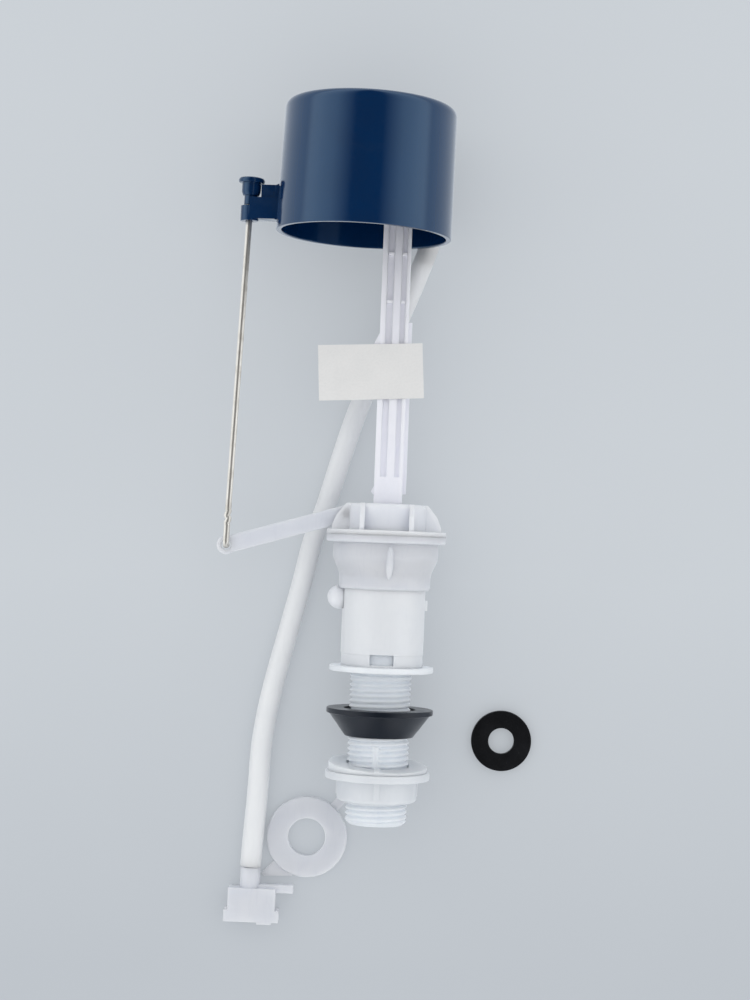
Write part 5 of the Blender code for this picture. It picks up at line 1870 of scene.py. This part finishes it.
@dataclass
class LoosePieces:
    """The rubber washer and the eared ring that lie beside the valve."""

    washer_place: tuple[float, float] = (42.9, 28.1)
    washer: tuple[float, float, float] = (10.5, 4.5, 3.0)
    ring_place: tuple[float, float] = (-23.8, -8.0)
    ring: tuple[float, float, float] = (14.1, 6.45, 2.6)
    ear_reach: float = 6.1
    ear_width: float = 3.3
    ear_thickness: float = 1.7
    ear_turns: tuple[float, float] = (49.0, 225.0)

    def build(self) -> None:
        """Builds the washer and the ring."""
        outer, hole, high = self.washer
        washer = turned(
            [(hole, 0.0, 0.2), (outer, 0.0, 0.5), (outer, high, 0.5), (hole, high, 0.3)], segments=128
        )
        Shape("inlet_seal", washer).done(
            DARK_RUBBER, Body.VALVE, Slot.RUBBER, ["inlet_washer"], place=bench(*self.washer_place)
        )
        outer, hole, high = self.ring
        shape = Shape(
            "eared_ring",
            turned([(hole, 0.0, 0.2), (outer, 0.0, 0.4), (outer, high, 0.8), (hole, high, 0.5)], segments=128),
        )
        root = hole + (outer - hole) / 2
        tip = outer + self.ear_reach
        side = self.ear_width / 2
        strip = [(root, -side), (tip, -side), (tip, side), (root, side)]
        web = [(root, -side), (tip, -side), (tip, 1.6 - side), (outer - self.ear_width / 3, 6.4), (root, side)]
        flat = spin(-90, "X")
        for ear, angle in zip((strip, web), self.ear_turns):
            turn = spin(angle, "Z")
            place = shift(0, 0, self.ear_thickness / 2) @ turn @ flat
            shape.join(moved(slab(ear, self.ear_thickness), place))
        shape.soften(0.2, angle=40)
        shape.done(MISTY, Body.VALVE, Slot.CLEAR, ["retaining_ring"], place=bench(*self.ring_place), sharp=34)


@dataclass
class RefillLine:
    """The soft refill tube and the overflow clip at its lower end."""

    radius: float = 3.65
    bore: float = 2.3
    swell: float = 0.12
    fitted_length: float = 52.0
    samples: int = 36
    stops: tuple[tuple[float, float], ...] = (
        (-42.9, -18.6),
        (-42.6, -12.0),
        (-42.0, -2.0),
        (-41.4, 8.0),
        (-40.6, 25.0),
        (-37.8, 43.0),
        (-32.0, 67.5),
        (-29.0, 80.0),
        (-25.6, 95.5),
        (-21.6, 107.5),
        (-16.9, 124.5),
        (-11.9, 141.0),
        (-6.2, 156.0),
        (0.3, 171.0),
        (6.0, 185.5),
        (11.2, 200.0),
        (13.6, 208.5),
    )
    block_width: float = 16.4
    block_length: float = 8.4
    block_thickness: float = 7.6
    neck_length: float = 7.0
    lip_width: float = 19.0
    lip_length: float = 3.2
    slot_height: float = 4.6

    def build(self) -> None:
        """Builds the tube and the clip."""
        route = [Vector((x, y, self.radius)) for x, y in self.stops]
        line = smooth_path(route, 12)
        run = [0.0]
        for a, b in zip(line, line[1:]):
            run.append(run[-1] + (b - a).length)
        fitted = [1.0 / (1.0 + (distance / self.fitted_length) ** 6) for distance in run]
        radii = [self.radius - self.swell + self.swell * share for share in fitted]
        tube = Shape("refill_hose", hose(line, radii, 40, bore=self.bore, depth=18))
        place = bench(0, 0)
        piece = tube.done(TUBE, Body.VALVE, Slot.TUBE, ["refill_tube"], place=place)
        self.build_clip()

    def build_clip(self) -> None:
        """Builds the clip: a slotted block with a lip, a side arm, a tab and the neck that holds the tube."""
        x, y = self.stops[0]
        neck_top = y - 0.3
        top = neck_top - self.neck_length
        low = top - self.block_length
        middle = x + 0.9
        half = self.block_width / 2
        thick = self.block_thickness
        lip_low = low - self.lip_length
        wall = (thick - self.slot_height) / 2
        tab_x = middle + half / 4
        shape = Shape("overflow_clip_body", block((middle - half, low, 0), (middle + half, top, thick)))
        shape.join(
            block((middle - self.lip_width / 2, lip_low, 0), (middle + self.lip_width / 2, low + 0.9, thick)),
            block((middle, top - 1.5, self.radius - 2.0), (x + 15.1, top + 1.2, self.radius + 2.0)),
            block((tab_x, lip_low - 0.7, thick - 1.0), (tab_x + 5.0, lip_low + 1.0, thick)),
            bar((x, top - 1.8, self.radius), (x, neck_top, self.radius), 3.5),
        )
        shape.cut(block((middle - 20, lip_low - 4, wall), (middle + 20, top - 3.6, wall + self.slot_height)))
        shape.soften(0.4, angle=40, segments=3)
        shape.done(MISTY, Body.VALVE, Slot.CLEAR, ["overflow_clip"], place=bench(0, 0), sharp=34)


@dataclass
class Label:
    """The bare paper label stuck across the post."""

    corners: tuple[tuple[float, float], ...] = ((-25.7, 162.1), (9.8, 164.1), (11.0, 145.4), (-24.6, 143.2))
    stand: float = 4.75
    curl: float = 0.7
    thickness: float = 0.16
    cells: tuple[int, int] = (36, 18)

    def build(self) -> None:
        """Builds the label as a slightly curled sheet of paper with its own thickness."""
        top_left, top_right, low_right, low_left = (Vector(c) for c in self.corners)
        across, down = self.cells

        def sheet(bm: bmesh.types.BMesh) -> list:
            """Adds both faces and the edge."""
            skins = []
            for lift in (0.0, self.thickness):
                grid = []
                for j in range(down + 1):
                    v = j / down
                    row = []
                    for i in range(across + 1):
                        u = i / across
                        place = top_left.lerp(top_right, u).lerp(low_left.lerp(low_right, u), v)
                        free = max(0.0, (-4.85 - place.x) / 21.0)
                        corner = max(0.0, u - 0.86) / 0.14
                        lifted = self.curl * free**2 * (1.0 + 0.5 * math.sin(2.4 * v + 0.4)) + 0.25 * corner**2
                        row.append(bm.verts.new((place.x, -self.stand - lift - lifted, place.y)))
                    grid.append(row)
                skins.append(grid)
            near, far = skins
            for j in range(down):
                for i in range(across):
                    bm.faces.new((near[j][i], near[j][i + 1], near[j + 1][i + 1], near[j + 1][i]))
                    bm.faces.new((far[j][i], far[j + 1][i], far[j + 1][i + 1], far[j][i + 1]))
            rim = [(0, i) for i in range(across)] + [(j, across) for j in range(down)]
            rim += [(down, i) for i in range(across, 0, -1)] + [(j, 0) for j in range(down, 0, -1)]
            for (a, b), (c, d) in zip(rim, rim[1:] + rim[:1]):
                bm.faces.new((near[a][b], near[c][d], far[c][d], far[a][b]))
            return list(bm.verts)

        Shape("paper_label", sheet).done(PAPER, Body.VALVE, Slot.WHITE, sharp=50)


# The studio


@dataclass
class Studio:
    """The camera, the surface the pieces lie on and the even light of the room."""

    camera_place: Point = (-0.31, -701.1, 94.7)
    right: Point = (0.9992465, 0.0385057, -0.0048768)
    up: Point = (-0.0383872, 0.9990111, 0.0224331)
    back: Point = (0.0057357, -0.0222290, 0.9997365)
    lens: float = 73.8
    floor_size: float = 12.0
    bright: float = 1.25
    brighter: float = 0.45
    dark: float = 0.06
    zenith: float = 1.06
    horizon: float = 0.98
    strip: Point = (18.5, 45.0, 70.0)
    mirrored: float = 1.1
    plain_share: float = 0.5
    floor_colour: Colour = (0.60, 0.635, 0.672)
    # Painted shade: the darker floor colour that the floor turns to towards negative y.
    painted_shade_floor_colour: Colour = (0.515, 0.548, 0.588)
    room_colour: Colour = (0.985, 0.995, 1.0)
    skirting: Point = (82.0, 90.0, 0.6)

    def build(self) -> None:
        """Builds the camera, the floor and the world."""
        self.build_camera()
        self.build_floor()
        self.build_world()
        bpy.context.scene.view_settings.view_transform = "Standard"

    def build_camera(self) -> None:
        """Places the camera where the photograph was taken from."""
        data = bpy.data.cameras.new("studio_camera")
        data.sensor_fit = "VERTICAL"
        data.sensor_height = 36.0
        data.lens = self.lens
        data.clip_start = 0.02
        data.clip_end = 60.0
        camera = bpy.data.objects.new("studio_camera", data)
        turn = Matrix((self.right, self.up, self.back)).transposed().to_4x4()
        camera.matrix_world = Matrix.Translation(LAID @ Vector(self.camera_place)) @ turn
        bpy.context.scene.collection.objects.link(camera)
        bpy.context.scene.camera = camera

    def build_floor(self) -> None:
        """Makes the plain surface, with painted shade making it a little darker towards one side."""
        half = self.floor_size / 2

        def plane(bm: bmesh.types.BMesh) -> list:
            """Adds the square."""
            corners = [(-half, -half, 0), (half, -half, 0), (half, half, 0), (-half, half, 0)]
            made = [bm.verts.new(corner) for corner in corners]
            bm.faces.new(made)
            return made

        floor = link("studio_floor", mesh_of("studio_floor", plane))
        material, g, shader = start_material("studio_surface")
        place = g.place()
        parts = g.add("ShaderNodeSeparateXYZ", {0: place}).outputs
        grain = g.noise(place, 9.0, 2.0)
        # Painted shade: the floor darkens towards negative y, with a little random grain on top.
        away = g.ramp(parts[1], -0.02, -0.16)
        painted_shade_and_grain = g.math("ADD", g.math("MULTIPLY", away, 0.9), g.ramp(grain, 0.35, 0.65, 0.0, 0.1))
        colour = g.mix(painted_shade_and_grain, rgba(self.floor_colour), rgba(self.painted_shade_floor_colour))
        g.feed(shader, {"Base Color": colour, "Roughness": 0.85, "Specular IOR Level": 0.15})
        rays = g.add("ShaderNodeLightPath").outputs
        seen = g.math("MAXIMUM", rays["Is Camera Ray"], rays["Is Glossy Ray"])
        seen = g.math("MAXIMUM", seen, rays["Is Transmission Ray"])
        strength = g.math("ADD", g.math("MULTIPLY", rays["Is Glossy Ray"], self.mirrored), 1.0)
        plain = g.add("ShaderNodeEmission", {"Color": colour, "Strength": strength}).outputs[0]
        inputs = {0: g.math("MULTIPLY", seen, self.plain_share), 1: shader.outputs[0], 2: plain}
        g.feed(g.tree.nodes["Material Output"], {0: g.add("ShaderNodeMixShader", inputs).outputs[0]})
        floor.data.materials.append(material)

    def build_world(self) -> None:
        """Lights the room evenly, and shows gloss two bright long sides with a dark strip overhead."""
        world = bpy.data.worlds.new("studio_room")
        bpy.context.scene.world = world
        world.use_nodes = True
        g = Graph(world.node_tree)
        look = g.add("ShaderNodeTexCoord").outputs["Generated"]
        x, _, z = g.add("ShaderNodeSeparateXYZ", {0: look}).outputs
        tilt = g.math("ARCTAN2", g.math("ABSOLUTE", x), z)
        low, middle, high = (math.radians(angle) for angle in self.strip)
        near = g.ramp(tilt, low, middle, self.dark, self.bright)
        wall = g.math("ADD", near, g.ramp(tilt, middle, high, 0.0, self.brighter))
        start, end, least = self.skirting
        skirting = g.ramp(tilt, math.radians(start), math.radians(end), 1.0, least)
        reflected = g.math("MULTIPLY", wall, skirting)
        even = g.ramp(tilt, 0.0, math.radians(90), self.zenith, self.horizon)
        glossy = g.add("ShaderNodeLightPath").outputs["Is Glossy Ray"]
        kept = g.math("MULTIPLY", even, g.math("SUBTRACT", 1.0, glossy))
        level = g.math("ADD", kept, g.math("MULTIPLY", reflected, glossy))
        g.feed(g.tree.nodes["Background"], {"Color": rgba(self.room_colour), "Strength": level})


def main() -> None:
    """Builds the studio and every sub-assembly in order."""
    logging.basicConfig(level=logging.INFO, format="%(name)s: %(message)s")
    Studio().build()
    assemblies = [
        RefillLine(),
        Shank(),
        Sleeve(),
        Bowl(),
        HeadCap(),
        Post(),
        FloatCup(),
        LinkRod(),
        Fittings(),
        LoosePieces(),
        Label(),
    ]
    for assembly in assemblies:
        assembly.build()
        LOG.info("%s built", type(assembly).__name__)


if __name__ == "__main__":
    main()
